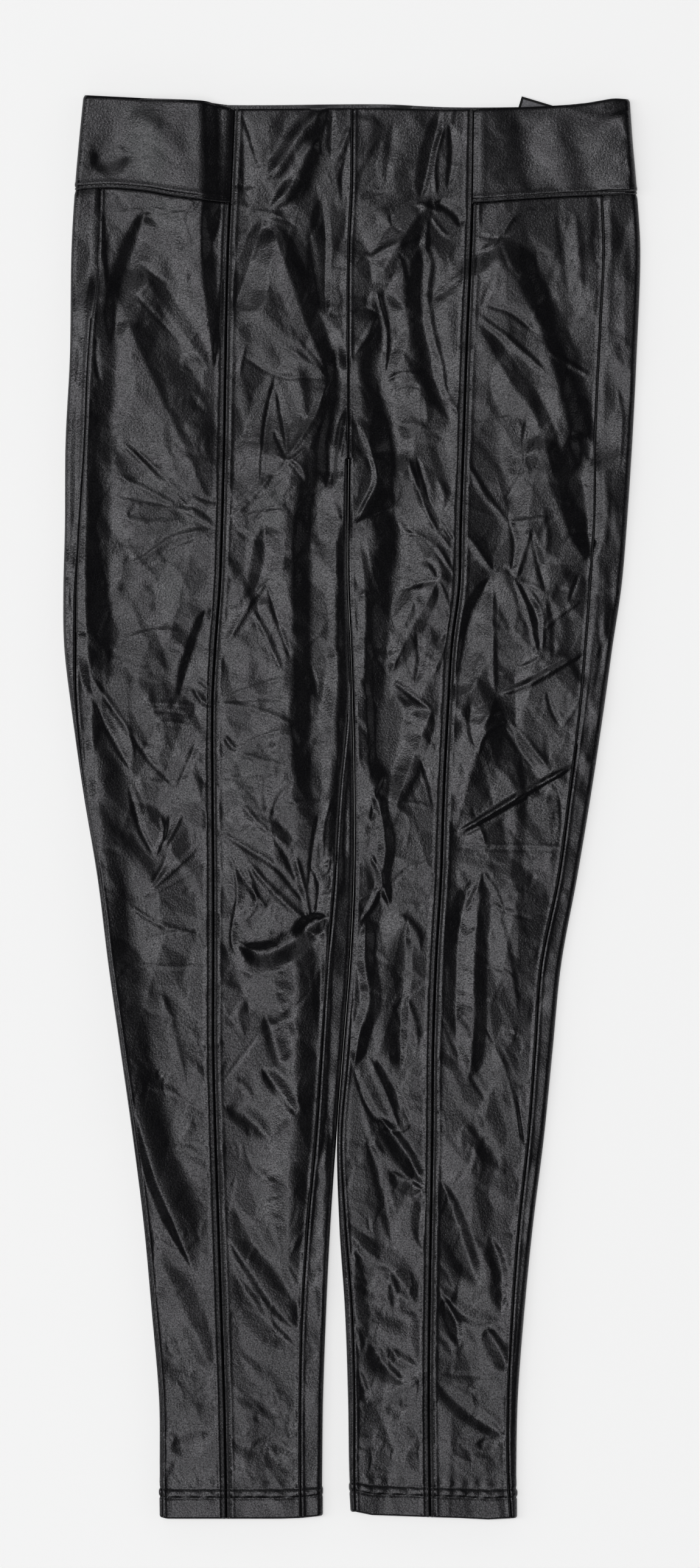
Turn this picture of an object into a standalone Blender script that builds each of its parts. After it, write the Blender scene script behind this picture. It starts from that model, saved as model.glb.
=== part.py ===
"""Faux leather leggings lying flat on their back, front up.

X runs across the garment to the viewer's right, Y up towards the waist, and Z
up off the surface. The origin is under the middle of the garment. Left and
right are the viewer's. Sizes in this file are millimetres until MM turns them
into metres. "Down" is the distance below the highest point of the waist.

Each cut piece is one closed wall of cloth. The back panels and the side
waistbands come round the folded edges on to the front, and the front panels
lie on them. Pieces meet at their seams with a small gap.
"""

import math

import bpy

MM = 0.001

# ---------------------------------------------------------------- main sizes
LENGTH = 983.0          # waist to hem, laid flat
TOP = 492.0             # place of the waist's highest reach along Y
BAND_STATION = 72.0     # the side waistbands' lower seam, before it is bent to shape
CROTCH = 252.0          # where the centre-front seam ends and the legs begin
HEM_DEPTH = 20.0        # turned up inside, so the wall is double there
STATION_STEP = 22.2     # between two rows of points along the garment

# ---------------------------------------------------------------- cloth walls
BACK_WALL = 1.4
FRONT_WALL = 1.2
HEM_EXTRA = 0.25        # the turned-up cloth, on the front's wall
BAND_RISE = 0.8         # the waistband lies a little prouder than the panel under it
RELIEF_SHARE = 0.33     # of a fold's height that the front wall takes up in thickness
LAYER_CLEARANCE = 0.4   # between the front and the back where the front lies lowest
SEAM_GAP = 0.3
FLAT_HEIGHT = BACK_WALL + LAYER_CLEARANCE + FRONT_WALL
RELIEF_REST = 2.6       # how far cloth with no fold in it stands above its lowest place
RELIEF_MAX = 5.3
FOLD_FALL = 2.0         # how quickly a fold's height falls away from its crest

# ---------------------------------------------------------------- folded edges
FOLD_DEPTH = 3.6        # how far in from a folded edge the rounding reaches
FOLD_DEPTH_AT_CROTCH = 2.4
FOLD_GROWTH = 60.0      # the inner edges reach their full rounding this far below the crotch
SEAM_INSET = 1.3        # the least distance from a folded edge to a seam beside it

# ---------------------------------------------------------------- seams
PUFF_OFFSET = 2.8       # a puffed channel lies this far to each side of a princess seam
PUFF_HEIGHT = 0.8
PUFF_SPREAD = 1.7
GROOVE_DEPTH = 0.4
GROOVE_SPREAD = 1.2
CHANNEL_EDGE = 6.5      # where a channel has run out into the flat panel

# Places of the seams and edges at stations down the garment.
SEAM_NAMES = ("down", "outer_left", "side_left", "princess_left", "inseam_left", "middle", "leg_gap",
              "inseam_right", "princess_right", "side_right", "outer_right")
SEAM_ROWS = (
    (0, -185.0, -172.5, -81.0, -2.5, 0.8, 0.4, -1.0, 84.5, 173.0, 191.5),
    (30, -188.0, -173.0, -82.0, -2.5, 0.6, 0.4, -1.0, 84.0, 173.0, 193.5),
    (65, -191.0, -173.5, -83.5, -2.5, 0.3, 0.4, -1.0, 83.5, 173.0, 196.5),
    (110, -193.5, -175.0, -85.5, -2.5, -1.8, 0.4, -1.0, 82.0, 174.5, 199.0),
    (180, -194.5, -181.5, -87.0, -2.5, -2.1, 0.4, -1.0, 79.0, 171.0, 196.5),
    (240, -197.5, -184.0, -88.0, -2.5, -2.1, 0.4, -1.0, 77.0, 168.5, 193.5),
    (300, -198.0, -188.0, -89.5, -3.5, -2.7, 0.4, -1.0, 75.0, 167.5, 189.5),
    (340, -199.0, -190.0, -91.0, -3.8, -2.6, 0.4, 0.0, 74.0, 165.0, 186.0),
    (380, -198.5, -190.5, -94.0, -3.0, -0.7, 0.4, 1.0, 69.0, 162.0, 180.0),
    (420, -194.0, -190.0, -96.0, -2.2, 0.5, 0.4, 2.0, 66.5, 158.5, 174.5),
    (480, -185.5, -184.0, -96.0, -7.5, 1.6, 0.4, 3.5, 63.5, 151.0, 165.5),
    (540, -175.5, -174.0, -95.5, -11.5, 1.4, 0.4, 4.0, 61.5, 143.0, 155.5),
    (600, -168.0, -166.5, -95.5, -16.5, -1.4, 0.4, 2.0, 58.0, 131.0, 144.5),
    (660, -159.5, -158.0, -95.5, -20.5, -6.1, 0.4, -2.0, 56.0, 126.5, 138.5),
    (720, -151.0, -149.5, -94.0, -24.5, -10.4, 0.8, -7.0, 55.5, 122.0, 132.5),
    (780, -143.5, -142.0, -92.0, -30.0, -11.7, 6.3, -4.3, 54.5, 115.5, 125.0),
    (840, -138.0, -136.5, -90.0, -34.0, -11.2, 13.2, 0.3, 53.5, 111.0, 119.0),
    (900, -133.0, -131.5, -88.0, -35.5, -11.2, 17.4, 1.9, 53.0, 108.0, 114.5),
    (950, -132.5, -131.0, -87.0, -35.5, -11.1, 18.8, 1.8, 53.5, 108.0, 113.5),
    (983, -132.0, -130.5, -86.5, -35.0, -10.3, 20.6, 2.6, 54.0, 110.0, 113.5),
)

# Edges that cross the garment: place across, then distance down.
WAIST_EDGE = ((-186, 1.0), (-146, 3.0), (-104, 5.0), (-86, 7.5), (20, 7.0), (65, 9.0), (110, 9.0),
              (145, 8.0), (165, 6.0), (180, 3.5), (192, 4.0))
FRONT_DROP = ((-98, 0.0), (-80, 3.0), (30, 3.0), (84, 1.5), (115, 0.5), (140, 0.0))
BAND_EDGE = ((-195, 67.0), (-170, 65.0), (-142, 67.0), (-123, 70.5), (-82, 75.0), (84, 75.0),
             (113, 73.0), (156, 70.5), (197, 69.5))
HEM_EDGE = ((-132, 981.5), (-127, 982.5), (-50, 982.5), (-35, 982.0), (-21, 980.5), (2, 977.5),
            (14, 980.0), (74, 982.0), (94, 983.0), (114, 982.0))
HEM_BEND_START = 900.0

# The largest folds: name, start across, start down, end across, end down, half width, height.
FOLDS_LEFT_OUTER = (
    ("long ridge down the thigh", -157, 163, -100, 272, 16, 2.2),
    ("valley right of it", -142, 153, -95, 246, 12, -1.6),
    ("valley along the seam", -102, 111, -95, 192, 10, -1.6),
    ("ridge above the knee", -162, 238, -113, 280, 9, 1.2),
    ("ridge below that", -168, 261, -113, 289, 9, 1.0),
    ("valley to the side", -97, 300, -145, 326, 9, -1.5),
    ("its outer end", -145, 326, -166, 328, 8, -1.2),
    ("knee valley", -102, 357, -118, 415, 10, -1.4),
    ("knee ridge", -152, 420, -105, 428, 9, 1.1),
    ("knee valley, low", -155, 438, -122, 478, 9, -1.5),
    ("fork, flat arm", -148, 502, -109, 510, 8, -1.2),
    ("fork, rising arm", -144, 550, -105, 515, 8, -1.4),
    ("calf ridge", -148, 582, -100, 584, 9, 1.2),
    ("edge roll, top", -171, 515, -164, 582, 9, 1.5),
    ("edge roll, middle", -164, 582, -156, 649, 9, 1.5),
    ("edge roll, low", -156, 649, -148, 712, 9, 1.4),
    ("valley inside the roll", -152, 565, -129, 682, 13, -1.8),
    ("its lower end", -129, 682, -108, 805, 13, -1.4),
    ("shin plateau", -117, 741, -117, 880, 15, 1.2),
    ("shin dent", -132, 766, -107, 811, 9, -0.9),
    ("ankle dent", -127, 927, -96, 931, 8, -0.9),
)
FOLDS_LEFT_INNER = (
    ("waist ridge", -16, 12, -63, 83, 12, 1.6),
    ("waist ridge, short", -30, 36, -52, 81, 9, 0.9),
    ("pleat by the front seam", -19, 78, -17, 192, 9, -1.7),
    ("hip valley", -54, 190, -63, 257, 9, -1.4),
    ("star, upper arm", -43, 249, -19, 212, 9, -1.4),
    ("hip valley, rising", -18, 197, -48, 167, 9, -1.3),
    ("inner thigh valley", -19, 212, -40, 286, 9, -1.6),
    ("its lower end", -40, 286, -42, 337, 9, -1.8),
    ("ridge beside it", -4, 230, -12, 346, 8, 1.4),
    ("thigh valley", -62, 341, -90, 383, 9, -1.2),
    ("thigh valley, steep", -60, 344, -48, 399, 8, -1.2),
    ("knee ridge", -93, 419, -42, 403, 9, 1.1),
    ("knee valley", -93, 421, -38, 434, 9, -1.1),
    ("knee valley, low", -79, 452, -47, 462, 8, -1.3),
    ("inner knee valley", -45, 487, -11, 482, 8, -1.1),
    ("calf valley", -87, 518, -30, 572, 9, -1.4),
    ("calf ridge", -76, 578, -33, 572, 8, 1.8),
    ("deep curved valley", -77, 590, -38, 596, 8, -2.2),
    ("its rising end", -38, 596, -25, 585, 7, -1.5),
    ("shin valley", -65, 646, -83, 677, 9, -1.2),
    ("long shin valley", -84, 761, -36, 854, 10, -1.0),
    ("ankle dent", -75, 937, -37, 940, 8, -0.8),
)
FOLDS_RIGHT_INNER = (
    ("sharp waist pleat", 60, 10, 53, 80, 7, -1.7),
    ("valley below the pleat", 60, 97, 60, 198, 9, -1.5),
    ("deep valley", 26, 159, 26, 237, 12, -2.0),
    ("deep valley, low", 26, 237, 26, 318, 11, -2.2),
    ("lens ridge, top", 6, 228, 15, 266, 9, 1.8),
    ("lens ridge, low", 15, 266, 2, 301, 9, 1.6),
    ("hip valley", 55, 164, 62, 215, 9, -1.2),
    ("flat valley", 34, 237, 63, 231, 8, -1.1),
    ("thigh valley", 51, 269, 71, 304, 8, -1.2),
    ("thigh valley, inner", 41, 262, 58, 315, 8, -1.2),
    ("long thigh valley", 58, 332, 23, 408, 10, -1.7),
    ("knee valley", 54, 428, 29, 487, 9, -1.5),
    ("inner knee valley", 13, 487, 22, 547, 8, -1.5),
    ("its lower end", 22, 547, 5, 570, 7, -1.2),
    ("knee valley, low", 25, 546, 58, 522, 8, -1.1),
    ("inner calf ridge", 10, 572, 8, 641, 9, 1.7),
    ("ridge below that", 0, 676, 16, 709, 8, 1.1),
    ("calf valley", 33, 598, 32, 669, 9, -2.1),
    ("calf valley, slanted", 9, 663, 33, 708, 8, -1.2),
    ("shin valley", 23, 715, 49, 755, 9, -1.3),
    ("shin valley, low", -3, 791, 45, 829, 9, -1.1),
    ("shin valley, upright", 8, 825, 12, 877, 8, -0.9),
    ("ankle valley", 16, 898, 48, 885, 8, -0.9),
)
FOLDS_RIGHT_OUTER = (
    ("hip ridge", 90, 147, 126, 166, 8, 1.2),
    ("hip valley", 87, 160, 134, 195, 8, -1.3),
    ("long valley, top", 91, 164, 122, 216, 10, -1.5),
    ("long valley, middle", 122, 216, 146, 290, 10, -1.4),
    ("long valley, low", 146, 290, 161, 325, 9, -1.3),
    ("side plateau", 149, 204, 149, 313, 13, 1.3),
    ("steep valley", 122, 216, 107, 291, 9, -1.4),
    ("thigh valley", 81, 251, 111, 323, 9, -1.3),
    ("upright valley", 98, 349, 98, 410, 8, -1.3),
    ("ridge over the knee", 100, 416, 160, 385, 9, 1.7),
    ("valley above it", 112, 345, 125, 388, 8, -1.1),
    ("strong knee ridge", 69, 509, 137, 470, 10, 2.1),
    ("its rising arm", 70, 498, 100, 422, 9, 1.2),
    ("knee dent", 104, 444, 125, 466, 8, -1.3),
    ("flat valley", 94, 521, 144, 522, 8, -1.2),
    ("calf ridge", 80, 547, 72, 636, 8, 1.5),
    ("calf valley", 92, 539, 79, 675, 9, -2.0),
    ("calf valley, slanted", 97, 559, 135, 572, 8, -1.0),
    ("shin valley", 92, 643, 120, 703, 9, -1.3),
    ("shin valley, inner", 61, 633, 94, 696, 9, -1.3),
    ("long shin valley", 61, 777, 107, 878, 10, -1.3),
    ("ankle valley", 68, 900, 100, 924, 8, -1.0),
    ("ankle valley, flat", 56, 881, 107, 887, 8, -0.9),
)
FOLDS_WAIST = (
    ("step beside the left princess seam", -96, 15, -98, 71, 9, -1.6),
)
FOLDS = FOLDS_LEFT_OUTER + FOLDS_LEFT_INNER + FOLDS_RIGHT_INNER + FOLDS_RIGHT_OUTER + FOLDS_WAIST

# ---------------------------------------------------------------- columns of points
INNER_COLUMNS = 8       # across an inner front panel, past its puffed channel
OUTER_COLUMNS = 8
BAND_FRONT_COLUMNS = 6
WRAP_COLUMNS = 6        # round a folded edge
FLAT_COLUMNS = 2        # across the underside
FLAT_RUN_WEIGHT = 0.15  # the flat part of a wrap gets fewer points than its bend
ARC_STEPS = 24
SLOPE_STEP = 0.1        # between the two places that a slope is read from
BEND_PASSES = 3         # enough for a bent row to settle on a slanting seam
ROUND_OFF = 0.01
SHARP_ANGLE = 50.0      # degrees, above which an edge is shaded sharp

# ---------------------------------------------------------------- label
LABEL_CORNERS = ((117.2, 1.6), (139.0, 8.2), (135.4, 20.0), (113.6, 13.4))
LABEL_LOW = 1.8
LABEL_WALL = 0.8

# ---------------------------------------------------------------- finishes
FAUX_LEATHER = ((0.017, 0.017, 0.018), 0.36)
LABEL_CLOTH = ((0.030, 0.030, 0.033), 0.70)


# ================================================================ reading the tables
def read_points(points, at):
    """A smooth curve through (place, value) points, level past both ends."""
    if at <= points[0][0]:
        return points[0][1]
    if at >= points[-1][0]:
        return points[-1][1]
    i = next(k for k in range(len(points) - 1) if points[k + 1][0] >= at)
    before = points[max(i - 1, 0)]
    low, high = points[i], points[i + 1]
    after = points[min(i + 2, len(points) - 1)]
    span = high[0] - low[0]
    t = (at - low[0]) / span
    slope_low = (high[1] - before[1]) / (high[0] - before[0]) * span
    slope_high = (after[1] - low[1]) / (after[0] - low[0]) * span
    return ((2 * t**3 - 3 * t**2 + 1) * low[1] + (t**3 - 2 * t**2 + t) * slope_low
            + (3 * t**2 - 2 * t**3) * high[1] + (t**3 - t**2) * slope_high)


def read_line(points, at):
    """Straight runs between (place, value) points, level past both ends."""
    if at <= points[0][0]:
        return points[0][1]
    for (x0, v0), (x1, v1) in zip(points, points[1:]):
        if at <= x1:
            return v0 + (v1 - v0) * (at - x0) / (x1 - x0)
    return points[-1][1]


SEAMS = {
    name: [(row[0], row[column]) for row in SEAM_ROWS]
    for column, name in enumerate(SEAM_NAMES)
}


def seam(name, down):
    return read_points(SEAMS[name], down)


def inner_edge(leg, down):
    """The folded edge of a leg on the side of the other leg."""
    half_gap = max(seam("leg_gap", down), SEAM_GAP) / 2
    return seam("middle", down) + (-half_gap if leg == "left" else half_gap)


def outer_edge(leg, down):
    return seam("outer_" + leg, down)


def inward(leg):
    """The direction across the garment from a leg's outer edge to its inner one."""
    return 1.0 if leg == "left" else -1.0


def fold_depth(edge, down):
    """How far in the rounding of a folded edge reaches; none above the crotch on the inner edges."""
    if edge == "outer":
        return FOLD_DEPTH
    if down < CROTCH - ROUND_OFF:
        return 0.0
    grown = min((down - CROTCH) / FOLD_GROWTH, 1.0)
    return FOLD_DEPTH_AT_CROTCH + (FOLD_DEPTH - FOLD_DEPTH_AT_CROTCH) * grown


def boundary(name, leg, down):
    """A seam's place across, kept off the folded edge beside it."""
    if name == "middle":
        return seam("middle", down)
    place = seam(f"{name}_{leg}", down)
    sense = inward(leg)
    if name == "side":
        least = outer_edge(leg, down) + sense * SEAM_INSET
        return max(place, least) if sense > 0 else min(place, least)
    if name == "inseam":
        most = inner_edge(leg, down) - sense * SEAM_INSET
        return min(place, most) if sense > 0 else max(place, most)
    return place


# ================================================================ the front surface
def fold_height(x, down):
    """The folds added up at a point."""
    total = 0.0
    for _, x0, down0, x1, down1, width, height in FOLDS:
        run_x, run_down = x1 - x0, down1 - down0
        along = ((x - x0) * run_x + (down - down0) * run_down) / (run_x**2 + run_down**2)
        along = min(max(along, 0.0), 1.0)
        apart = math.hypot(x - x0 - along * run_x, down - down0 - along * run_down)
        total += height * math.exp(-FOLD_FALL * (apart / width) ** 2)
    return total


def seam_height(x, down):
    """The puffed channels beside the princess seams, and the groove in each long seam."""
    total = 0.0
    for leg in ("left", "right"):
        apart = abs(x - seam("princess_" + leg, down))
        total += PUFF_HEIGHT * math.exp(-(((apart - PUFF_OFFSET) / PUFF_SPREAD) ** 2))
        total -= GROOVE_DEPTH * math.exp(-((apart / GROOVE_SPREAD) ** 2))
    if down < CROTCH:
        total -= GROOVE_DEPTH * math.exp(-(((x - seam("middle", down)) / GROOVE_SPREAD) ** 2))
    return total


def relief(x, down):
    """Height above the lowest that the front lies, from its folds and seams."""
    raised = RELIEF_REST + fold_height(x, down) + seam_height(x, down)
    return min(max(raised, 0.0), RELIEF_MAX)


def edge_rounding(x, leg, down):
    """Where a point is within a folded edge's rounding: its share of the way in, and the crown's place."""
    sense = inward(leg)
    for edge, place, side in (("outer", outer_edge(leg, down), sense), ("inner", inner_edge(leg, down), -sense)):
        depth = fold_depth(edge, down)
        if depth and (x - place) * side < depth:
            return max((x - place) * side, 0.0) / depth, place + side * depth
    return 1.0, x


def top_height(x, leg, down, rise=0.0):
    """Height of the front's outer face above the surface it lies on."""
    share, crown = edge_rounding(x, leg, down)
    half = (FLAT_HEIGHT + relief(crown, down) + rise) / 2
    if share >= 1.0:
        return 2 * half
    return half + half * math.sqrt(max(1.0 - (1.0 - share) ** 2, 0.0))


def front_wall(x, down, extra=0.0):
    """Thickness of the front, which grows with a fold so that the space under it stays low."""
    hem = HEM_EXTRA if down > LENGTH - HEM_DEPTH else 0.0
    return FRONT_WALL + RELIEF_SHARE * relief(x, down) + extra + hem


# ================================================================ places on the garment
def down_at(x, station, front):
    """Distance down of a row of points, bent to follow the waist, band and hem edges."""
    waist = read_points(WAIST_EDGE, x) + (read_line(FRONT_DROP, x) if front else 0.0)
    band = read_points(BAND_EDGE, x)
    if station <= BAND_STATION:
        return waist + (band - waist) * station / BAND_STATION
    if station <= CROTCH:
        return band + (CROTCH - band) * (station - BAND_STATION) / (CROTCH - BAND_STATION)
    if station <= HEM_BEND_START:
        return station
    hem = read_line(HEM_EDGE, x)
    return HEM_BEND_START + (hem - HEM_BEND_START) * (station - HEM_BEND_START) / (LENGTH - HEM_BEND_START)


def place_across(name, leg, station, front=True):
    """Where a seam or edge crosses a row, with the row's own bend allowed for."""
    down = station
    x = 0.0
    for _ in range(BEND_PASSES):
        if name == "outer_edge":
            x = outer_edge(leg, down)
        elif name == "inner_edge":
            x = inner_edge(leg, down)
        else:
            x = boundary(name, leg, down)
        down = down_at(x, station, front)
    return x


def stations(first, last):
    """Rows from one station to another, about STATION_STEP apart."""
    count = max(round((last - first) / STATION_STEP), 1)
    return [first + (last - first) * k / count for k in range(count + 1)]


# ================================================================ walls of cloth
def wall(name, rows, finish):
    """A closed wall from rows of (outer point, inner point) pairs; None leaves a place empty."""
    points, faces = [], []
    outer, inner = {}, {}
    for j, row in enumerate(rows):
        for i, pair in enumerate(row):
            if pair is None:
                continue
            outer[i, j] = len(points)
            points.append(pair[0])
            inner[i, j] = len(points)
            points.append(pair[1])
    edges = {}
    for (i, j) in outer:
        ring = ((i, j), (i + 1, j), (i + 1, j + 1), (i, j + 1))
        if not all(corner in outer for corner in ring):
            continue
        faces.append([outer[corner] for corner in ring])
        faces.append([inner[corner] for corner in reversed(ring)])
        for start, end in zip(ring, ring[1:] + ring[:1]):
            if (end, start) in edges:
                del edges[end, start]
            else:
                edges[start, end] = True
    for start, end in edges:
        faces.append([outer[end], outer[start], inner[start], inner[end]])
    mesh = bpy.data.meshes.new(name)
    mesh.from_pydata([(x * MM, (TOP - down) * MM, z * MM) for x, down, z in points], [], faces)
    mesh.update()
    if signed_volume(mesh) < 0:
        mesh.flip_normals()
    mesh.shade_smooth()
    mesh.set_sharp_from_angle(angle=math.radians(SHARP_ANGLE))
    mesh.materials.append(finish)
    body = bpy.data.objects.new(name, mesh)
    bpy.context.scene.collection.objects.link(body)
    return body


def signed_volume(mesh):
    """Positive when a closed mesh's faces point out."""
    mesh.calc_loop_triangles()
    total = 0.0
    for triangle in mesh.loop_triangles:
        a, b, c = (mesh.vertices[index].co for index in triangle.vertices)
        total += a.dot(b.cross(c)) / 6
    return total


def offset_inwards(profile, thickness):
    """Moves a cross-section's (x, z) points to their right by the wall's thickness."""
    moved = []
    for k, (x, z) in enumerate(profile):
        x0, z0 = profile[max(k - 1, 0)]
        x1, z1 = profile[min(k + 1, len(profile) - 1)]
        length = math.hypot(x1 - x0, z1 - z0)
        moved.append((x + (z1 - z0) / length * thickness, z - (x1 - x0) / length * thickness))
    return moved


def surface_pair(x, leg, station, thickness, normal_at=None, rise=0.0):
    """Outer and inner points of the front at a place, square to its cross-section at normal_at."""
    down = down_at(x, station, True)
    z = top_height(x, leg, down, rise)
    where = x if normal_at is None else normal_at
    ahead = top_height(where + SLOPE_STEP, leg, down, rise)
    behind = top_height(where - SLOPE_STEP, leg, down, rise)
    slope = (ahead - behind) / (2 * SLOPE_STEP)
    length = math.hypot(1.0, slope)
    return (x, down, z), (x + slope / length * thickness, down, z - thickness / length)


def front_row(leg, station, seams, across):
    """One row of points of a front panel, from its princess seam to its other long seam.

    across lists each point's share of the way past the puffed channel, or
    minus its distance from the princess seam inside the channel. Both end
    points take the direction of their inner point from the seam itself, so
    that the walls on the two sides of a seam stay parallel.
    """
    from_seam, to_seam = (place_across(name, leg, station) for name in seams)
    heading = math.copysign(1.0, to_seam - from_seam)
    start = from_seam + heading * SEAM_GAP / 2
    end = to_seam - heading * SEAM_GAP / 2
    past_channel = from_seam + heading * CHANNEL_EDGE
    row = []
    for k, share in enumerate(across):
        if share <= 0 and k < len(CHANNEL_POINTS):
            x = start - heading * share
        else:
            x = past_channel + (end - past_channel) * share
        normal_at = from_seam if k == 0 else to_seam if k == len(across) - 1 else None
        thickness = front_wall(x, down_at(x, station, True))
        row.append(surface_pair(x, leg, station, thickness, normal_at))
    return row


def wrap_profile(edge, leg, station, from_seam, rise=0.0):
    """A folded edge's cross-section from a seam on the front, round to the underside."""
    edge_name = "outer_edge" if edge == "outer" else "inner_edge"
    edge_x = place_across(edge_name, leg, station)
    seam_x = place_across(from_seam, leg, station)
    side = inward(leg) if edge == "outer" else -inward(leg)
    down = down_at(edge_x, station, True)
    depth = fold_depth(edge, max(down, CROTCH) if edge == "inner" else down)
    start = (seam_x - edge_x) * side - SEAM_GAP / 2
    half = top_height(edge_x + side * depth, leg, down, rise) / 2
    dense = []
    if start > depth:
        for k in range(ARC_STEPS):
            x = edge_x + side * (start + (depth - start) * k / ARC_STEPS)
            dense.append((x, top_height(x, leg, down_at(x, station, True), rise)))
    first_angle = math.pi / 2
    if start < depth:
        first_angle = math.acos(1.0 - start / depth)
    for k in range(ARC_STEPS + 1):
        angle = first_angle + (-math.pi / 2 - first_angle) * k / ARC_STEPS
        dense.append((edge_x + side * depth * (1.0 - math.cos(angle)), half + half * math.sin(angle)))
    return thinned(dense, side, edge_x, depth)


def thinned(dense, side, edge_x, depth):
    """The few points kept of a dense cross-section, closest together round the bend."""
    measure = [0.0]
    for (x0, z0), (x1, z1) in zip(dense, dense[1:]):
        middle = ((x0 + x1) / 2 - edge_x) * side
        weight = FLAT_RUN_WEIGHT if middle > depth else 1.0
        measure.append(measure[-1] + weight * math.hypot(x1 - x0, z1 - z0))
    kept = []
    for k in range(WRAP_COLUMNS + 1):
        wanted = measure[-1] * k / WRAP_COLUMNS
        i = next((n for n in range(len(measure) - 1) if measure[n + 1] >= wanted), len(measure) - 2)
        t = (wanted - measure[i]) / (measure[i + 1] - measure[i])
        kept.append(tuple(a + (b - a) * t for a, b in zip(dense[i], dense[i + 1])))
    return kept


def wrap_pairs(edge, leg, station, from_seam, rise=0.0):
    """Outer and inner points round a folded edge, from a seam on the front to the underside."""
    profile = wrap_profile(edge, leg, station, from_seam, rise)
    side = inward(leg) if edge == "outer" else -inward(leg)
    turned = [(x * side, z) for x, z in profile]
    inner = offset_inwards(turned[::-1], BACK_WALL)[::-1]
    row = []
    for k, ((x, z), (inner_x, inner_z)) in enumerate(zip(profile, inner)):
        down = down_at(x, station, k < len(profile) // 2)
        row.append(((x, down, z), (inner_x * side, down, inner_z)))
    seam_x = place_across(from_seam, leg, station)
    row[0] = surface_pair(profile[0][0], leg, station, BACK_WALL, seam_x, rise)
    last_x = profile[-1][0]
    row[-1] = underside_pair(last_x, station)
    return row


def underside_pair(x, station):
    """Outer and inner points of the underside, which lies flat."""
    down = down_at(x, station, False)
    return (x, down, 0.0), (x, down, BACK_WALL)


# ================================================================ pieces
CHANNEL_POINTS = [0.0, -(PUFF_OFFSET - SEAM_GAP / 2)]


def even(count):
    return [k / count for k in range(count + 1)]


def front_inner(leg, finish):
    """From the princess seam to the centre-front seam, and below the crotch to the inseam."""
    rows = []
    for station in stations(0.0, BAND_STATION)[:-1] + hip_and_leg_stations():
        inner_seam = "middle" if station < CROTCH else "inseam"
        across = CHANNEL_POINTS + even(INNER_COLUMNS)
        rows.append(front_row(leg, station, ("princess", inner_seam), across))
    return wall("front_inner_" + leg, rows, finish)


def hip_and_leg_stations(first=BAND_STATION):
    hip = stations(BAND_STATION, CROTCH)
    hip[0] = first
    return hip[:-1] + stations(CROTCH, LENGTH)


def front_outer(leg, finish):
    """From the princess seam to the side seam, below the waistband."""
    rows = []
    for station in hip_and_leg_stations(BAND_STATION + SEAM_GAP / 2):
        across = CHANNEL_POINTS + even(OUTER_COLUMNS)
        rows.append(front_row(leg, station, ("princess", "side"), across))
    return wall("front_outer_" + leg, rows, finish)


def underside_row(station, start_x, end_x):
    """Points across the flat underside, past the first of them."""
    return [
        underside_pair(start_x + (end_x - start_x) * k / FLAT_COLUMNS, station)
        for k in range(1, FLAT_COLUMNS + 1)
    ]


def back(leg, finish):
    """The underside, round the outer fold to the side seam and round the inner one to the inseam."""
    rows = []
    for station in hip_and_leg_stations(BAND_STATION + SEAM_GAP / 2):
        row = wrap_pairs("outer", leg, station, "side")
        last_x = row[-1][0][0]
        if station < CROTCH:
            row += underside_row(station, last_x, place_across("inner_edge", leg, station, False))
            row += [None] * WRAP_COLUMNS
        else:
            inner = wrap_pairs("inner", leg, station, "inseam")[::-1]
            row += underside_row(station, last_x, inner[0][0][0]) + inner[1:]
        rows.append(row)
    return wall("back_" + leg, rows, finish)


def waistband(leg, finish):
    """From the princess seam out to the side, round the fold and across the back to its middle."""
    sense = inward(leg)
    rows = []
    levels = stations(0.0, BAND_STATION)
    levels[-1] -= SEAM_GAP / 2
    for station in levels:
        princess_x = place_across("princess", leg, station)
        wrap = wrap_pairs("outer", leg, station, "side", BAND_RISE)
        start = princess_x - sense * SEAM_GAP / 2
        end = wrap[0][0][0]
        row = []
        for k in range(BAND_FRONT_COLUMNS):
            x = start + (end - start) * k / BAND_FRONT_COLUMNS
            thickness = front_wall(x, down_at(x, station, True), BAND_RISE / 2)
            normal_at = princess_x if k == 0 else None
            row.append(surface_pair(x, leg, station, thickness, normal_at, BAND_RISE))
        row += wrap
        row += underside_row(station, wrap[-1][0][0], place_across("inner_edge", leg, station, False))
        rows.append(row)
    return wall("waistband_" + leg, rows, finish)


def label(finish):
    """A plain folded tab held between the front and the back, one corner showing past the waist edge."""
    low, high = LABEL_LOW, LABEL_LOW + LABEL_WALL
    a, b, c, d = LABEL_CORNERS
    rows = [[((*corner, high), (*corner, low)) for corner in pair] for pair in ((a, b), (d, c))]
    return wall("label", rows, finish)


def material(name, colour, roughness):
    finish = bpy.data.materials.new(name)
    finish.use_nodes = True
    shader = finish.node_tree.nodes["Principled BSDF"]
    shader.inputs["Base Color"].default_value = (*colour, 1.0)
    shader.inputs["Roughness"].default_value = roughness
    shader.inputs["Metallic"].default_value = 0.0
    return finish


def main():
    for old in list(bpy.data.objects):
        bpy.data.objects.remove(old, do_unlink=True)
    for leg in ("left", "right"):
        for build in (front_inner, front_outer, back, waistband):
            build(leg, material(f"faux leather, {build.__name__} {leg}", *FAUX_LEATHER))
    label(material("label cloth", *LABEL_CLOTH))


main()
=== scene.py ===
"""Black faux leather leggings laid flat, front up, on a pale floor, seen from straight above.

Places are in millimetres across (x, from the middle, to the viewer's right) and down from the
waist, and go to metres as each mesh is made. Heights are above the floor.
"""

import logging
from collections.abc import Callable
from dataclasses import dataclass, field
from enum import Enum

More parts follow.
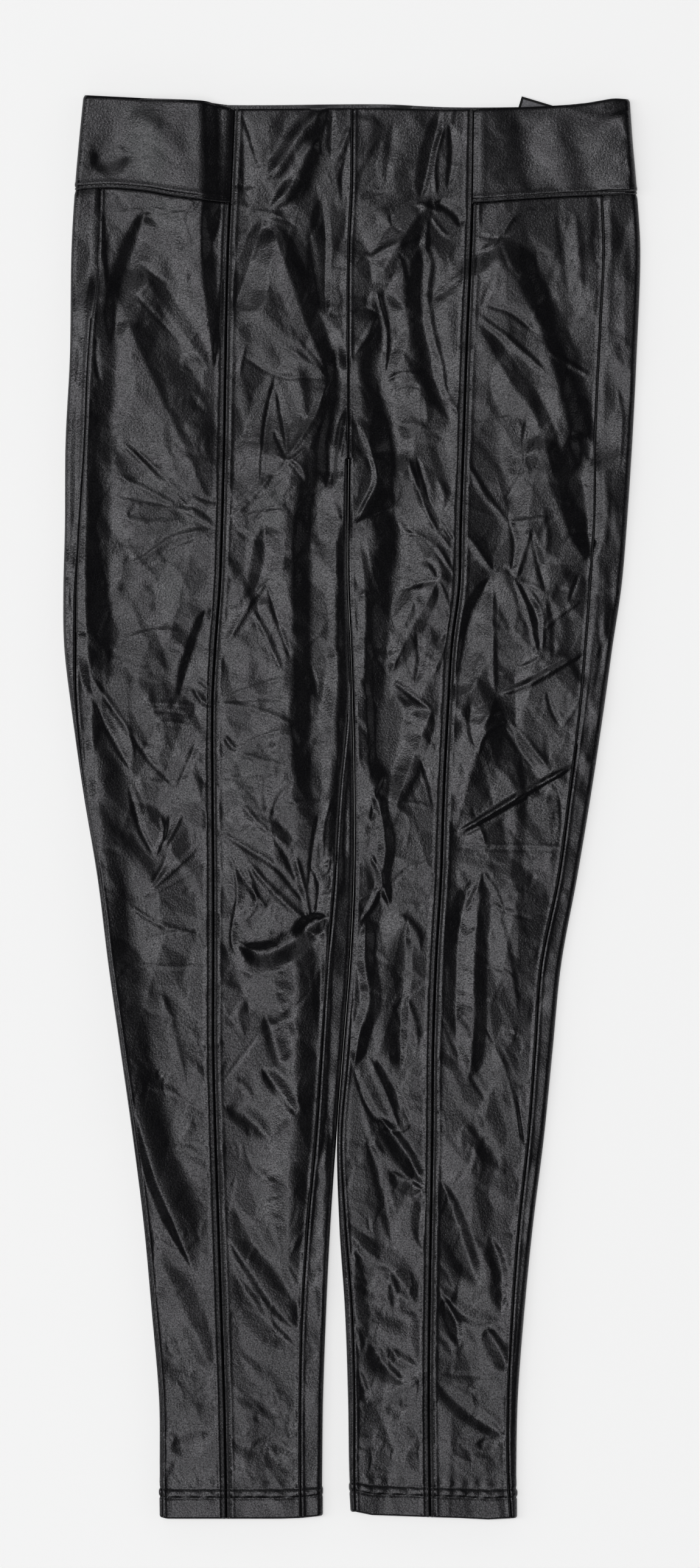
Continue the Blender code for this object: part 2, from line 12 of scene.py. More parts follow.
import bpy
import numpy as np
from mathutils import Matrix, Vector


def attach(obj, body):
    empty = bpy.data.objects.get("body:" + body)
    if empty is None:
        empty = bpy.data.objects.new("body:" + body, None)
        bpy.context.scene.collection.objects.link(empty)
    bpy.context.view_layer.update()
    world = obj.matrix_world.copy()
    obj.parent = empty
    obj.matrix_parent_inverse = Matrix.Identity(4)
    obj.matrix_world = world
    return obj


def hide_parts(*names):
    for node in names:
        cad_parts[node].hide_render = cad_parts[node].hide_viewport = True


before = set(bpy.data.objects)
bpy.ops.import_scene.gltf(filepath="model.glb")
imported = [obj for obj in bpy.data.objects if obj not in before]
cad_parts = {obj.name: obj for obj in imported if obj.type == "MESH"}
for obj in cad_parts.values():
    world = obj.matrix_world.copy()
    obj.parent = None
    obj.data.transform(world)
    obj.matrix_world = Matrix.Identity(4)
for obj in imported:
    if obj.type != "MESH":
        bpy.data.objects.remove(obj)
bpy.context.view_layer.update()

LOG = logging.getLogger("leggings")
MM = 0.001
SHARP = np.radians(60)
FAR = 99.0  # from an edge that isn't there, mm
FINE_STEP = 0.7  # between the rows of a fine stretch, mm

FoldTable = dict[tuple[float, float], tuple[tuple[float, ...], ...]]
Runs = tuple[tuple[float, float], ...]
Array = np.ndarray


class Leg(Enum):
    """A side of the garment as the viewer sees it; the value is the way across from its outer edge."""

    LEFT = 1.0
    RIGHT = -1.0

    @property
    def word(self) -> str:
        """The side's name in object names."""
        return self.name.lower()


class Face(Enum):
    """Which layer of the flat garment."""

    FRONT = "front"
    BACK = "back"


Line = Callable[[Leg, Array], Array]


# ---------------------------------------------------------------- measurements, mm
TOP = 492.0
LENGTH = 983.0
BAND = 72.0
LINED = (TOP - 20.0) * MM
CROTCH = 252.0
HEM_BEND_START = 900.0
HEM_DEPTH = 20.2
HEM_FINE = (LENGTH - 26.0, LENGTH)
HEM_ROWS = (20.2, 14.3)
FIELD = (-206.0, 206.0, -4.0, 988.0)  # left, right, top and bottom of the height fields

# Where each inseam begins to stand out down the leg, and how far it does above that.
INSEAM_SHOWS = {Leg.LEFT: (360.0, 0.35), Leg.RIGHT: (600.0, 0.12)}

# Each sheet's flat width and length in m, and its area in square metres.
INNER_SHEET = (0.098, 0.985, 0.072)
OUTER_SHEET = (0.105, 0.915, 0.071)
BACK_SHEET = (0.215, 0.915, 0.165)
BAND_SHEET = (0.290, 0.073, 0.0205)

SEAM_NAMES = ("down", "outer_left", "side_left", "princess_left", "inseam_left", "middle", "leg_gap",
              "inseam_right", "princess_right", "side_right", "outer_right")
SEAM_ROWS = (
    (0, -185, -172.5, -81, -2.5, 0.8, 0.4, -1, 84.5, 173, 191.5),
    (30, -188, -173, -82, -2.5, 0.6, 0.4, -1, 84, 173, 193.5),
    (65, -191, -173.5, -83.5, -2.5, 0.3, 0.4, -1, 83.5, 173, 196.5),
    (110, -193.5, -175, -85.5, -2.5, -1.8, 0.4, -1, 82, 174.5, 199.0),
    (180, -194.5, -181.5, -87, -2.5, -2.1, 0.4, -1, 79, 171, 196.5),
    (240, -197.5, -184, -88, -2.5, -2.1, 0.4, -1, 77, 168.5, 193.5),
    (300, -198, -188, -89.5, -3.5, -2.7, 0.4, -1, 75, 167.5, 189.5),
    (340, -199, -190, -91, -3.8, -2.6, 0.4, 0, 74, 165, 186),
    (380, -198.5, -190.5, -94, -3, -0.7, 0.4, 1, 69, 162, 180),
    (420, -194, -190, -96, -2.2, 0.5, 0.4, 2, 66.5, 158.5, 174.5),
    (480, -185.5, -184, -96, -7.5, 1.6, 0.4, 3.5, 63.5, 151, 165.5),
    (540, -175.5, -174, -95.5, -11.5, 1.4, 0.4, 4, 61.5, 143, 155.5),
    (600, -168, -166.5, -95.5, -16.5, -1.4, 0.4, 2, 58, 131, 144.5),
    (660, -159.5, -158, -95.5, -20.5, -6.1, 0.4, -2, 56, 126.5, 138.5),
    (720, -151, -149.5, -94, -24.5, -10.4, 0.8, -7, 55.5, 122, 132.5),
    (780, -143.5, -142, -92, -30, -11.7, 6.3, -4.3, 54.5, 115.5, 125),
    (840, -138, -136.5, -90, -34, -11.2, 13.2, 0.3, 53.5, 111, 119),
    (900, -133, -131.5, -88, -35.5, -11.2, 17.4, 1.9, 53, 108, 114.5),
    (950, -132.5, -131, -87, -35.5, -11.1, 18.8, 1.8, 53.5, 108, 113.5),
    (983, -132, -130.5, -86.5, -35, -10.3, 20.6, 2.6, 54, 110, 113.5),
)
WAIST_EDGE = ((-186, 1), (-146, 3), (-104, 5), (-86, 7.5), (20, 7), (65, 9), (110, 9), (145, 8),
              (165, 6), (180, 3.5), (192, 4))
FRONT_DROP = ((-98, 0), (-80, 3), (30, 3), (84, 1.5), (115, 0.5), (140, 0))
BAND_EDGE = ((-195, 67), (-170, 65), (-142, 67), (-123, 70.5), (-82, 75), (84, 75), (113, 73),
             (156, 70.5), (197, 69.5))
HEM_EDGE = ((-132, 981.5), (-127, 982.5), (-50, 982.5), (-35, 982), (-21, 980.5), (2, 977.5),
            (14, 980), (74, 982), (94, 983), (114, 982))
LABEL_CORNERS = ((117.2, 1.6), (139.0, 8.2), (135.4, 20.0), (113.6, 13.4))

# Folds, in groups by the shares of their length over which they fade in and out. Each fold has
# its height, width to its left, width to its right, softness of its crest, then the points
# (across, down) that it follows. Left and right are the viewer's where a path runs down; where it
# runs to the viewer's right they are below and above it. A height below nought is a trough.
WAISTBAND_FOLDS: FoldTable = {
    (0.02, 0.3): (
     (3.4, 66, 13, 0.02, -103, 2, -103, 60, -103.5, 122),),
    (0.3, 0.3): (
     (-1.5, 14, 12, 0.5, -181, 51, -166, 43, -150, 44),
     (0.25, 1.68, 2.1, 0.3, 92, 66, 100, 52, 124, 46)),
    (0.4, 0.4): (
     (0.68, 15, 12, 0.8, -156, 9, -136, 25, -111, 46),),
    (0.2, 0.2): (
     (-0.7, 9, 20, 0.6, 113, 13, 119, 38, 123, 71), (0.5, 18, 12, 0.6, 137, 12, 146, 38, 152, 71)),
    (0.1, 0.1): (
     (2.4, 34, 7, 0.2, 188, 10, 190, 38, 192, 71),),
    (0.3, 0.4): (
     (-0.25, 1.68, 2.52, 0.08, 88, 15, 96, 27, 106, 41),),
    (0.3, 0.5): (
     (-0.21, 1.5, 1.68, 0.08, 137, 19, 155, 38, 180, 43),),
}
LEFT_INNER_FOLDS: FoldTable = {
    (0.15, 0.4): (
     (-0.33, 1.68, 2.52, 0.08, -76, 13, -71, 27, -63, 54),
     (0.38, 1.68, 1.68, 0.06, -85, 296, -64, 289, -40, 287)),
    (0.3, 0.3): (
     (-0.41, 2.52, 5.04, 0.5, -75, 27, -74, 50, -75, 72),
     (-0.46, 3.36, 5.04, 0.4, -30, 89, -26, 123, -21, 152),
     (-0.25, 1.68, 2.1, 0.08, -16, 120, -9, 119, -1, 122),
     (-0.29, 1.68, 2.1, 0.08, -18, 151, -9, 153, -1, 150),
     (0.29, 1.68, 2.52, 0.08, -78, 198, -75, 181, -72, 170),
     (-0.25, 1.5, 1.89, 0.06, -30, 391, -26, 402, -24, 419),
     (0.38, 2.94, 3.36, 0.6, -81, 603, -65, 607, -42, 603),
     (0.44, 6, 9, 0.3, -79, 867, -60, 888, -37, 916), (-0.44, 7, 7, 0.5, -84, 896, -66, 902, -48, 914),
     (0.28, 9, 7, 0.5, -80, 952, -62, 948, -42, 953)),
    (0.15, 0.25): (
     (2.4, 10, 12, 0.35, -17, 9, -26, 18, -36, 30, -46, 46, -61, 62),
     (2.2, 8, 11, 0.35, -22, 30, -27, 36, -34, 49, -42, 66, -58, 81)),
    (0.2, 0.3): (
     (-0.5, 4, 3, 0.3, -13, 13, -14, 30, -14, 46), (-0.38, 2.1, 3.15, 0.4, -3, 41, -7, 58, -6, 78),
     (-0.38, 1.68, 1.68, 0.06, -69, 295, -57, 286, -48, 286),
     (0.29, 1.68, 1.68, 0.06, -92, 472, -69, 470, -44, 467),
     (-0.25, 1.68, 2.52, 0.06, -63, 647, -77, 665, -91, 684)),
    (0.15, 0.3): (
     (0.6, 4, 4, 0.3, -2, 22, -5, 34, -12, 47, -17, 46),
     (-0.62, 2.1, 5.04, 0.05, -52, 191, -59, 223, -62, 254, -64, 277),
     (0.33, 3.15, 2.1, 0.05, -44, 251, -35, 257, -30, 268),
     (-0.38, 2.1, 3.15, 0.05, -44, 251, -51, 261, -61, 263),
     (0.49, 2.1, 2.1, 0.05, -30, 243, -44, 253, -56, 246),
     (-0.49, 2.1, 3.15, 0.05, -54, 232, -49, 243, -44, 253),
     (-0.38, 2.1, 3.15, 0.05, -44, 253, -38, 260, -32, 269),
     (0.38, 2.52, 2.94, 0.04, -93, 419, -69, 410, -41, 401),
     (-0.38, 2.52, 2.52, 0.06, -93, 420, -64, 417, -41, 418),
     (0.33, 2.1, 2.1, 0.05, -81, 453, -64, 444, -41, 437),
     (0.33, 2.1, 2.1, 0.05, -81, 453, -64, 459, -45, 462),
     (-0.33, 2.1, 1.68, 0.06, -80, 455, -64, 453, -42, 446),
     (-0.49, 2.52, 3.78, 0.06, -40, 475, -50, 485, -57, 505),
     (0.46, 2.52, 2.94, 0.06, -44, 488, -33, 489, -20, 487)),
    (0.3, 0.4): (
     (-0.33, 1.68, 1.68, 0.06, -61, 84, -44, 88, -33, 97),
     (0.38, 2.1, 2.52, 0.3, -78, 83, -58, 82, -41, 89),
     (0.25, 1.5, 1.89, 0.06, -36, 386, -24, 374, -13, 369)),
    (0.15, 0.15): (
     (-1.3, 12, 3, 0.03, -20, 69, -17.5, 103, -18, 128, -17, 154),
     (0.49, 4.41, 2.94, 0.06, -16, 197, -26, 223, -44, 251),
     (-1.9, 12, 22, 0.1, -14, 214, -20, 250, -27, 290, -28.5, 346, -28, 408, -29, 467, -24, 500),
     (0.58, 2.52, 3.78, 0.03, -69, 355, -58, 377, -48, 400),
     (-0.54, 2.52, 2.52, 0.03, -59, 336, -52, 360, -41, 393),
     (-0.58, 2.52, 4.41, 0.04, -94, 507, -75, 519, -52, 534, -32, 559),
     (0.49, 3.78, 2.52, 0.04, -76, 489, -66, 501, -56, 510),
     (-0.41, 2.94, 3.78, 0.06, -56, 510, -44, 528, -33, 559),
     (0.41, 3.78, 2.1, 0.05, -87, 522, -75, 540, -57, 564),
     (0.62, 3.78, 3.36, 0.03, -72, 529, -52, 552, -28, 573),
     (0.54, 3.78, 2.52, 0.03, -39, 523, -33, 548, -28, 573)),
    (0.15, 0.12): (
     (1.9, 40, 12, 0.02, -58, 86, -45, 120, -29, 165, -16, 194),),
    (0.12, 0.15): (
     (-1.3, 9, 24, 0.03, -60, 85, -71, 120, -83, 152),),
    (0.3, 0.15): (
     (0.38, 3.78, 2.52, 0.06, -52, 170, -36, 181, -17, 195),
     (0.29, 3.15, 2.1, 0.06, -41, 165, -30, 179, -17, 195),
     (-0.33, 2.1, 2.1, 0.06, -82, 176, -52, 194, -17, 196)),
    (0.2, 0.15): (
     (-0.46, 2.52, 3.78, 0.06, -54, 195, -48, 223, -44, 251),
     (-2.21, 10, 15.2, 0.35, -10, 170, -9, 204, -13, 237, -17, 274),
     (-3.0, 12, 9, 0.25, -80, 586, -62, 592, -42, 585, -28, 572, -15, 566)),
    (0.3, 0.2): (
     (0.58, 3.15, 2.52, 0.25, -1, 209, -5, 232, -9, 254, -12, 277),),
    (0.12, 0.3): (
     (3.5, 76, 70, 0.03, -16, 212, -31, 269, -40, 292, -41.6, 337, -40, 388, -43, 408, -41, 467, -37,
      510, -37, 580, -38, 660),),
    (0.12, 0.12): (
     (0.6, 6, 9, 0.2, -9, 285, -11, 310, -11, 346, -11, 397, -14, 447, -15, 490, -17, 540),),
    (0.12, 0.25): (
     (1.3, 4, 16, 0.15, -5, 218, -8, 240, -9.5, 262, -8, 285, -4, 301),),
    (0.2, 0.4): (
     (0.29, 1.68, 2.52, 0.06, -40, 290, -27, 276, -13, 268),),
    (0.15, 0.2): (
     (0.46, 5.04, 2.94, 0.05, -54, 262, -69, 279, -85, 295),
     (-1.19, 8, 22.8, 0.04, -60, 296, -61, 321, -65, 341, -69, 355),
     (0.58, 4.41, 2.94, 0.04, -57, 335, -69, 350, -80, 369, -89, 383),
     (0.38, 2.94, 2.52, 0.04, -93, 419, -64, 425, -37, 436),
     (-0.66, 2.1, 3.15, 0.06, -88, 443, -84, 449, -79, 453),
     (-0.49, 2.1, 3.15, 0.04, -23, 495, -27, 520, -30, 551),
     (-0.49, 1.68, 3.78, 0.05, -82, 523, -79, 552, -83, 584, -75, 602)),
    (0.2, 0.2): (
     (0.68, 15, 8, 0.04, -86, 318, -80, 341, -76, 358),
     (0.41, 2.52, 1.68, 0.06, -12, 481, -19, 503, -20, 531),
     (0.38, 3.15, 2.1, 0.06, -74, 529, -66, 558, -77, 574),
     (-0.54, 2.1, 3.15, 0.05, -30, 529, -23, 545, -25, 568),
     (0.46, 1.68, 2.52, 0.08, -26, 542, -17, 536, -15, 526),
     (-0.41, 2.52, 1.68, 0.08, -23, 552, -15, 548, -14, 536),
     (0.88, 5, 14, 0.25, -87, 786, -70, 811, -52, 837, -34, 856),
     (0.5, 5, 3, 0.3, -17, 700, -19, 780, -21, 860)),
    (0.12, 0.2): (
     (2.2, 14, 17, 0.3, -40, 565, -38, 640, -40, 700, -43, 760, -43, 820),),
    (0.1, 0.1): (
     (0.9, 3, 4, 0.2, -19, 560, -18, 620, -20, 680, -24, 742),),
    (0.25, 0.25): (
     (-1.0, 7, 8, 0.4, -61, 632, -52, 656, -43, 680),
     (-0.61, 9, 8, 0.3, -83, 762, -70, 790, -52, 812, -38, 836),
     (-0.66, 8, 6, 0.4, -87, 924, -70, 934, -55, 930, -38, 937)),
    (0.2, 0.1): (
     (-0.9, 5, 7, 0.15, -63, 671, -50, 687, -38, 704),),
    (0.25, 0.3): (
     (-1.0, 7, 8, 0.5, -89, 697, -72, 706, -55, 722),),
    (0.25, 0.2): (
     (-0.77, 12, 5, 0.25, -84, 808, -72, 828, -58, 848, -36, 867),),
}
LEFT_OUTER_FOLDS: FoldTable = {
    (0.15, 0.15): (
     (3.0, 40, 27, 0.02, -173, 116, -150, 168, -123, 228, -98, 284),
     (0.49, 3.78, 2.52, 0.03, -160, 239, -138, 259, -112, 284),
     (-0.54, 2.52, 3.78, 0.03, -152, 243, -128, 268, -112, 287),
     (-0.49, 2.52, 2.1, 0.04, -112, 274, -103, 279, -92, 282),
     (0.62, 3.78, 2.94, 0.04, -113, 285, -103, 292, -94, 299),
     (-1.36, 6, 20.9, 0.04, -100, 354, -109, 383, -119, 415),
     (-0.62, 2.1, 3.15, 0.05, -110, 409, -102, 420, -94, 422),
     (-0.66, 3.36, 5.04, 0.03, -183, 407, -169, 436, -152, 467),
     (-0.38, 2.1, 3.15, 0.05, -156, 437, -139, 460, -121, 479),
     (-0.41, 2.1, 3.78, 0.05, -107, 446, -114, 464, -121, 479),
     (-0.49, 2.52, 3.78, 0.05, -154, 476, -146, 506, -136, 526),
     (0.49, 3.15, 2.1, 0.04, -132, 497, -129, 509, -136, 526),
     (0.46, 3.15, 2.1, 0.04, -116, 495, -125, 512, -136, 526),
     (-0.38, 1.68, 2.52, 0.04, -125, 495, -128, 512, -135, 526),
     (0.54, 2.52, 5.04, 0.03, -145, 555, -125, 537, -105, 519),
     (0.46, 2.52, 2.1, 0.03, -145, 555, -120, 542, -98, 530),
     (-0.38, 3.15, 2.1, 0.04, -145, 555, -131, 534, -125, 514)),
    (0.12, 0.25): (
     (-2.0, 10, 16, 0.2, -141, 79, -149, 103, -156, 124, -160, 140, -166, 176),),
    (0.15, 0.2): (
     (0.62, 3.78, 3.36, 0.3, -174, 78, -172, 109, -170, 137),
     (0.49, 3.15, 2.1, 0.06, -107, 402, -97, 411, -93, 422),
     (0.49, 3.15, 2.94, 0.04, -181, 400, -166, 422, -153, 442, -150, 464),
     (0.41, 2.1, 2.52, 0.05, -155, 559, -132, 573, -101, 581)),
    (0.3, 0.12): (
     (1.4, 24, 9, 0.03, -104.6, 75, -103, 126, -94, 192),),
    (0.2, 0.15): (
     (-0.62, 3.78, 3.15, 0.05, -89, 125, -90, 159, -95, 192),
     (0.94, 18, 9, 0.04, -148, 117, -125, 153, -97, 192),
     (0.46, 2.94, 2.94, 0.04, -171, 259, -142, 273, -95, 299),
     (-0.33, 2.1, 2.1, 0.06, -164, 276, -136, 282, -111, 285),
     (-0.38, 2.1, 2.1, 0.05, -148, 584, -125, 579, -106, 574),
     (0.33, 1.68, 2.1, 0.06, -151, 600, -125, 602, -100, 601)),
    (0.3, 0.3): (
     (0.33, 1.68, 1.68, 0.08, -167, 84, -150, 81, -125, 84),
     (-0.29, 1.68, 1.68, 0.08, -163, 79, -142, 83, -114, 80),
     (0.25, 1.68, 1.68, 0.08, -142, 78, -125, 82, -106, 83),
     (0.33, 3.36, 3.36, 0.5, -164, 290, -142, 296, -117, 293),
     (-0.33, 3.36, 3.36, 0.5, -164, 310, -145, 310, -131, 304),
     (0.29, 2.1, 2.1, 0.08, -159, 377, -136, 370, -111, 372),
     (-0.21, 1.68, 1.68, 0.08, -162, 386, -142, 394, -125, 386),
     (0.29, 1.68, 1.68, 0.06, -145, 436, -125, 433, -106, 437),
     (0.38, 5.67, 3.78, 0.6, -132, 612, -122, 651, -113, 689),
     (-0.83, 10, 7, 0.4, -127, 934, -113, 931, -97, 921),
     (-0.33, 10, 12, 0.5, -122, 845, -112, 868, -104, 892),
     (0.39, 8, 8, 0.5, -129, 903, -115, 908, -99, 905)),
    (0.3, 0.4): (
     (-0.25, 1.68, 2.52, 0.08, -152, 111, -136, 125, -117, 137),),
    (0.2, 0.4): (
     (-0.25, 1.68, 2.52, 0.08, -153, 134, -136, 153, -117, 173),),
    (0.2, 0.3): (
     (-0.41, 1.68, 3.15, 0.08, -176, 165, -176, 187, -172, 204),
     (0.33, 1.68, 1.68, 0.06, -153, 420, -128, 420, -103, 422),
     (-0.29, 1.5, 1.68, 0.06, -150, 425, -128, 426, -108, 429),
     (0.29, 1.68, 1.68, 0.06, -146, 472, -128, 475, -106, 470)),
    (0.15, 0.3): (
     (0.54, 2.94, 2.94, 0.05, -94, 299, -125, 307, -145, 321, -165, 327),
     (-0.33, 2.52, 2.52, 0.08, -97, 302, -125, 313, -142, 327)),
    (0.22, 0.12): (
     (3, 7, 17, 0.12, -173, 96, -177, 140, -180, 187, -182, 232, -183, 279, -184, 335, -182, 386, -177,
      430),),
    (0.12, 0.12): (
     (3.0, 7, 20, 0.25, -180, 420, -177, 465, -174, 511, -170, 560, -166, 602, -159, 662, -147, 708,
      -136, 745, -121, 782, -107, 816),),
    (0.3, 0.25): (
     (0.99, 14, 13, 0.2, -136, 798, -119, 832, -105, 862, -96, 884),),
    (0.35, 0.35): (
     (-0.5, 9, 8, 0.5, -132, 870, -120, 877, -106, 874),),
}
RIGHT_INNER_FOLDS: FoldTable = {
    (0.2, 0.3): (
     (0.77, 18, 10, 0.7, 15, 13, 9, 33, 4, 52), (-0.38, 2.1, 3.15, 0.06, 32, 109, 37, 117, 39, 131),
     (-0.41, 2.1, 2.1, 0.08, 0, 151, 10, 148, 20, 153),
     (0.38, 1.68, 1.68, 0.06, 22, 199, 34, 193, 51, 194),
     (-0.33, 1.68, 1.68, 0.06, 25, 207, 37, 201, 51, 204),
     (0.33, 1.68, 1.68, 0.06, 32, 489, 43, 489, 57, 493),
     (0.49, 5.67, 3.36, 0.5, 31, 564, 44, 577, 48, 593),
     (0.41, 5.67, 3.36, 0.5, 36, 619, 44, 644, 44, 667)),
    (0.3, 0.3): (
     (-0.33, 3.78, 5.67, 0.6, 29, 16, 26, 41, 23, 66), (0.33, 2.52, 2.52, 0.3, 4, 92, 15, 83, 29, 78),
     (-0.33, 2.52, 2.52, 0.3, 2, 75, 15, 69, 29, 66),
     (-0.38, 1.68, 2.52, 0.06, 26, 80, 29, 92, 38, 97),
     (-0.29, 1.68, 1.68, 0.06, 32, 240, 51, 235, 68, 232),
     (-0.65, 6, 9, 0.3, 8, 712, 19, 745, 25, 775, 29, 800),
     (-0.5, 9, 7, 0.4, 14, 836, 28, 842, 44, 850), (-0.58, 6, 5, 0.3, 24, 862, 33, 872, 46, 878),
     (-0.72, 7, 4, 0.4, 4, 878, 8, 892, 10, 904), (0.43, 9, 9, 0.6, 10, 932, 28, 925, 48, 928)),
    (0.15, 0.15): (
     (-0.9, 8, 4, 0.05, 62, 10, 56, 36, 47, 75), (0.58, 2.52, 2.94, 0.04, 64, 22, 57, 44, 58, 71),
     (-0.62, 2.94, 5.04, 0.25, 67, 19, 69, 41, 66, 66), (0.54, 2.1, 2.1, 0.05, 44, 75, 52, 78, 61, 82),
     (0.74, 5.04, 3.78, 0.06, 53, 83, 51, 106, 54, 117, 52, 137, 55, 162, 60, 181, 66, 207),
     (-2.0, 12, 16, 0.25, 52, 100, 49, 131, 51, 162, 58, 195, 68, 225),
     (-2.3, 13, 15, 0.2, 22, 133, 24, 152, 23, 170, 18, 190, 22, 214, 29, 242, 32, 265),
     (1.3, 3, 12, 0.06, 4, 222, 7, 232, 13, 246, 17, 266, 9, 284, 0, 299),
     (-2.2, 9, 24, 0.15, -1, 270, -1.5, 320, -1, 400, -2, 480, -6, 560),
     (0.49, 2.52, 2.94, 0.04, 37, 246, 46, 274, 57, 299, 72, 318),
     (-0.54, 2.1, 3.15, 0.04, 44, 248, 54, 279, 72, 313),
     (0.49, 2.52, 2.1, 0.04, 52, 271, 60, 290, 73, 310),
     (0.49, 3.78, 2.52, 0.04, 37, 299, 57, 312, 72, 333),
     (-0.49, 2.52, 3.78, 0.05, 50, 321, 56, 326, 60, 335),
     (1.27, 20.9, 8, 0.03, 60, 335, 43, 366, 25, 402),
     (0.41, 4.41, 2.52, 0.04, 60, 335, 65, 349, 69, 363),
     (0.49, 3.15, 2.94, 0.05, 28, 404, 43, 416, 56, 425),
     (1.27, 20.9, 8, 0.03, 56, 423, 44, 453, 29, 494),
     (-0.54, 2.52, 3.78, 0.08, 23, 470, 16, 489, 13, 503),
     (0.74, 3.78, 2.94, 0.06, 12, 523, 20, 541, 14, 559, 5, 572),
     (-0.4, 2.5, 5, 0.08, 1, 672, 12, 700, 31, 720), (0.5, 5, 3, 0.04, 11, 663, 23, 687, 33, 714),
     (-0.35, 5, 3, 0.05, 16, 663, 31, 689, 41, 711), (0.54, 2.1, 2.1, 0.05, 20, 714, 31, 716, 41, 711),
     (0.5, 5, 4, 0.05, 2, 905, 25, 896, 50, 884)),
    (0.15, 0.2): (
     (-1.1, 3.6, 6.8, 0.25, 57, 74, 71, 83, 76, 93), (1.6, 14, 12, 0.1, 55, 70, 33, 103, 15, 133),
     (0.66, 3.15, 2.52, 0.05, 17, 135, 24, 165, 22, 198),
     (-0.41, 2.1, 2.1, 0.08, 0, 298, 15, 290, 32, 285),
     (-0.38, 2.1, 3.15, 0.05, 35, 301, 51, 308, 68, 330),
     (-0.38, 2.52, 2.52, 0.05, 60, 335, 43, 339, 32, 343),
     (-1.61, 10, 15.2, 0.35, 29, 411, 33, 442, 27, 475, 25, 498),
     (-0.38, 2.52, 2.1, 0.05, 26, 545, 43, 531, 60, 523),
     (0.33, 2.1, 2.52, 0.05, 4, 556, 15, 551, 22, 545),
     (0.94, 8, 12, 0.15, -1, 786, 14, 801, 29, 812, 45, 836)),
    (0.15, 0.3): (
     (0.38, 1.68, 2.1, 0.08, 54, 84, 66, 98, 76, 93), (-0.79, 6, 5, 0.2, 52, 754, 47, 772, 46, 794)),
    (0.3, 0.2): (
     (0.46, 3.78, 3.78, 0.45, 6, 117, 26, 106, 51, 97),),
    (0.2, 0.2): (
     (0.33, 2.1, 2.1, 0.08, 1, 117, 10, 111, 18, 117),
     (0.49, 3.36, 3.78, 0.08, 1, 181, 12, 165, 18, 151),
     (-0.49, 3.36, 5.04, 0.3, 44, 369, 47, 391, 43, 408),
     (0.49, 3.36, 5.04, 0.3, 56, 402, 62, 386, 68, 369),
     (-0.38, 2.52, 3.78, 0.08, 47, 458, 53, 475, 57, 495), (0.86, 4, 8, 0.15, 1, 792, 3, 830, 6, 870)),
    (0.2, 0.15): (
     (0.49, 3.78, 2.94, 0.06, 55, 179, 64, 204, 75, 223),
     (0.6, 5, 5, 0.15, 3, 296, 9, 345, 9, 400, 11, 440, 13, 480),
     (-1.4, 9, 6, 0.2, 18, 704, 35, 727, 50, 753)),
    (0.12, 0.15): (
     (-3.3, 17, 30, 0.1, 27, 262, 33, 307, 29, 338, 26, 370, 23, 412, 22.5, 445, 22, 490),
     (1.3, 5, 7, 0.08, 14, 478, 20, 497, 23, 517, 21, 542, 27, 562)),
    (0.12, 0.12): (
     (1.7, 6, 9, 0.12, 10, 568, 9, 598, 12, 626, 6, 645, 1, 672),),
    (0.25, 0.15): (
     (-1.7, 14, 4, 0.3, 38, 565, 37, 600, 34, 635, 34, 674),
     (-1.01, 10, 5, 0.25, 12, 860, 23, 877, 35, 889)),
    (0.25, 0.25): (
     (0.3, 4.41, 4.12, 0.1, 3, 682, 15, 721, 28, 765, 28, 794),),
    (0.25, 0.2): (
     (-1.01, 8, 4, 0.25, 25, 742, 38, 750, 50, 757),),
    (0.4, 0.4): (
     (-0.65, 7, 6, 0.6, 21, 904, 31, 906, 41, 905),),
}
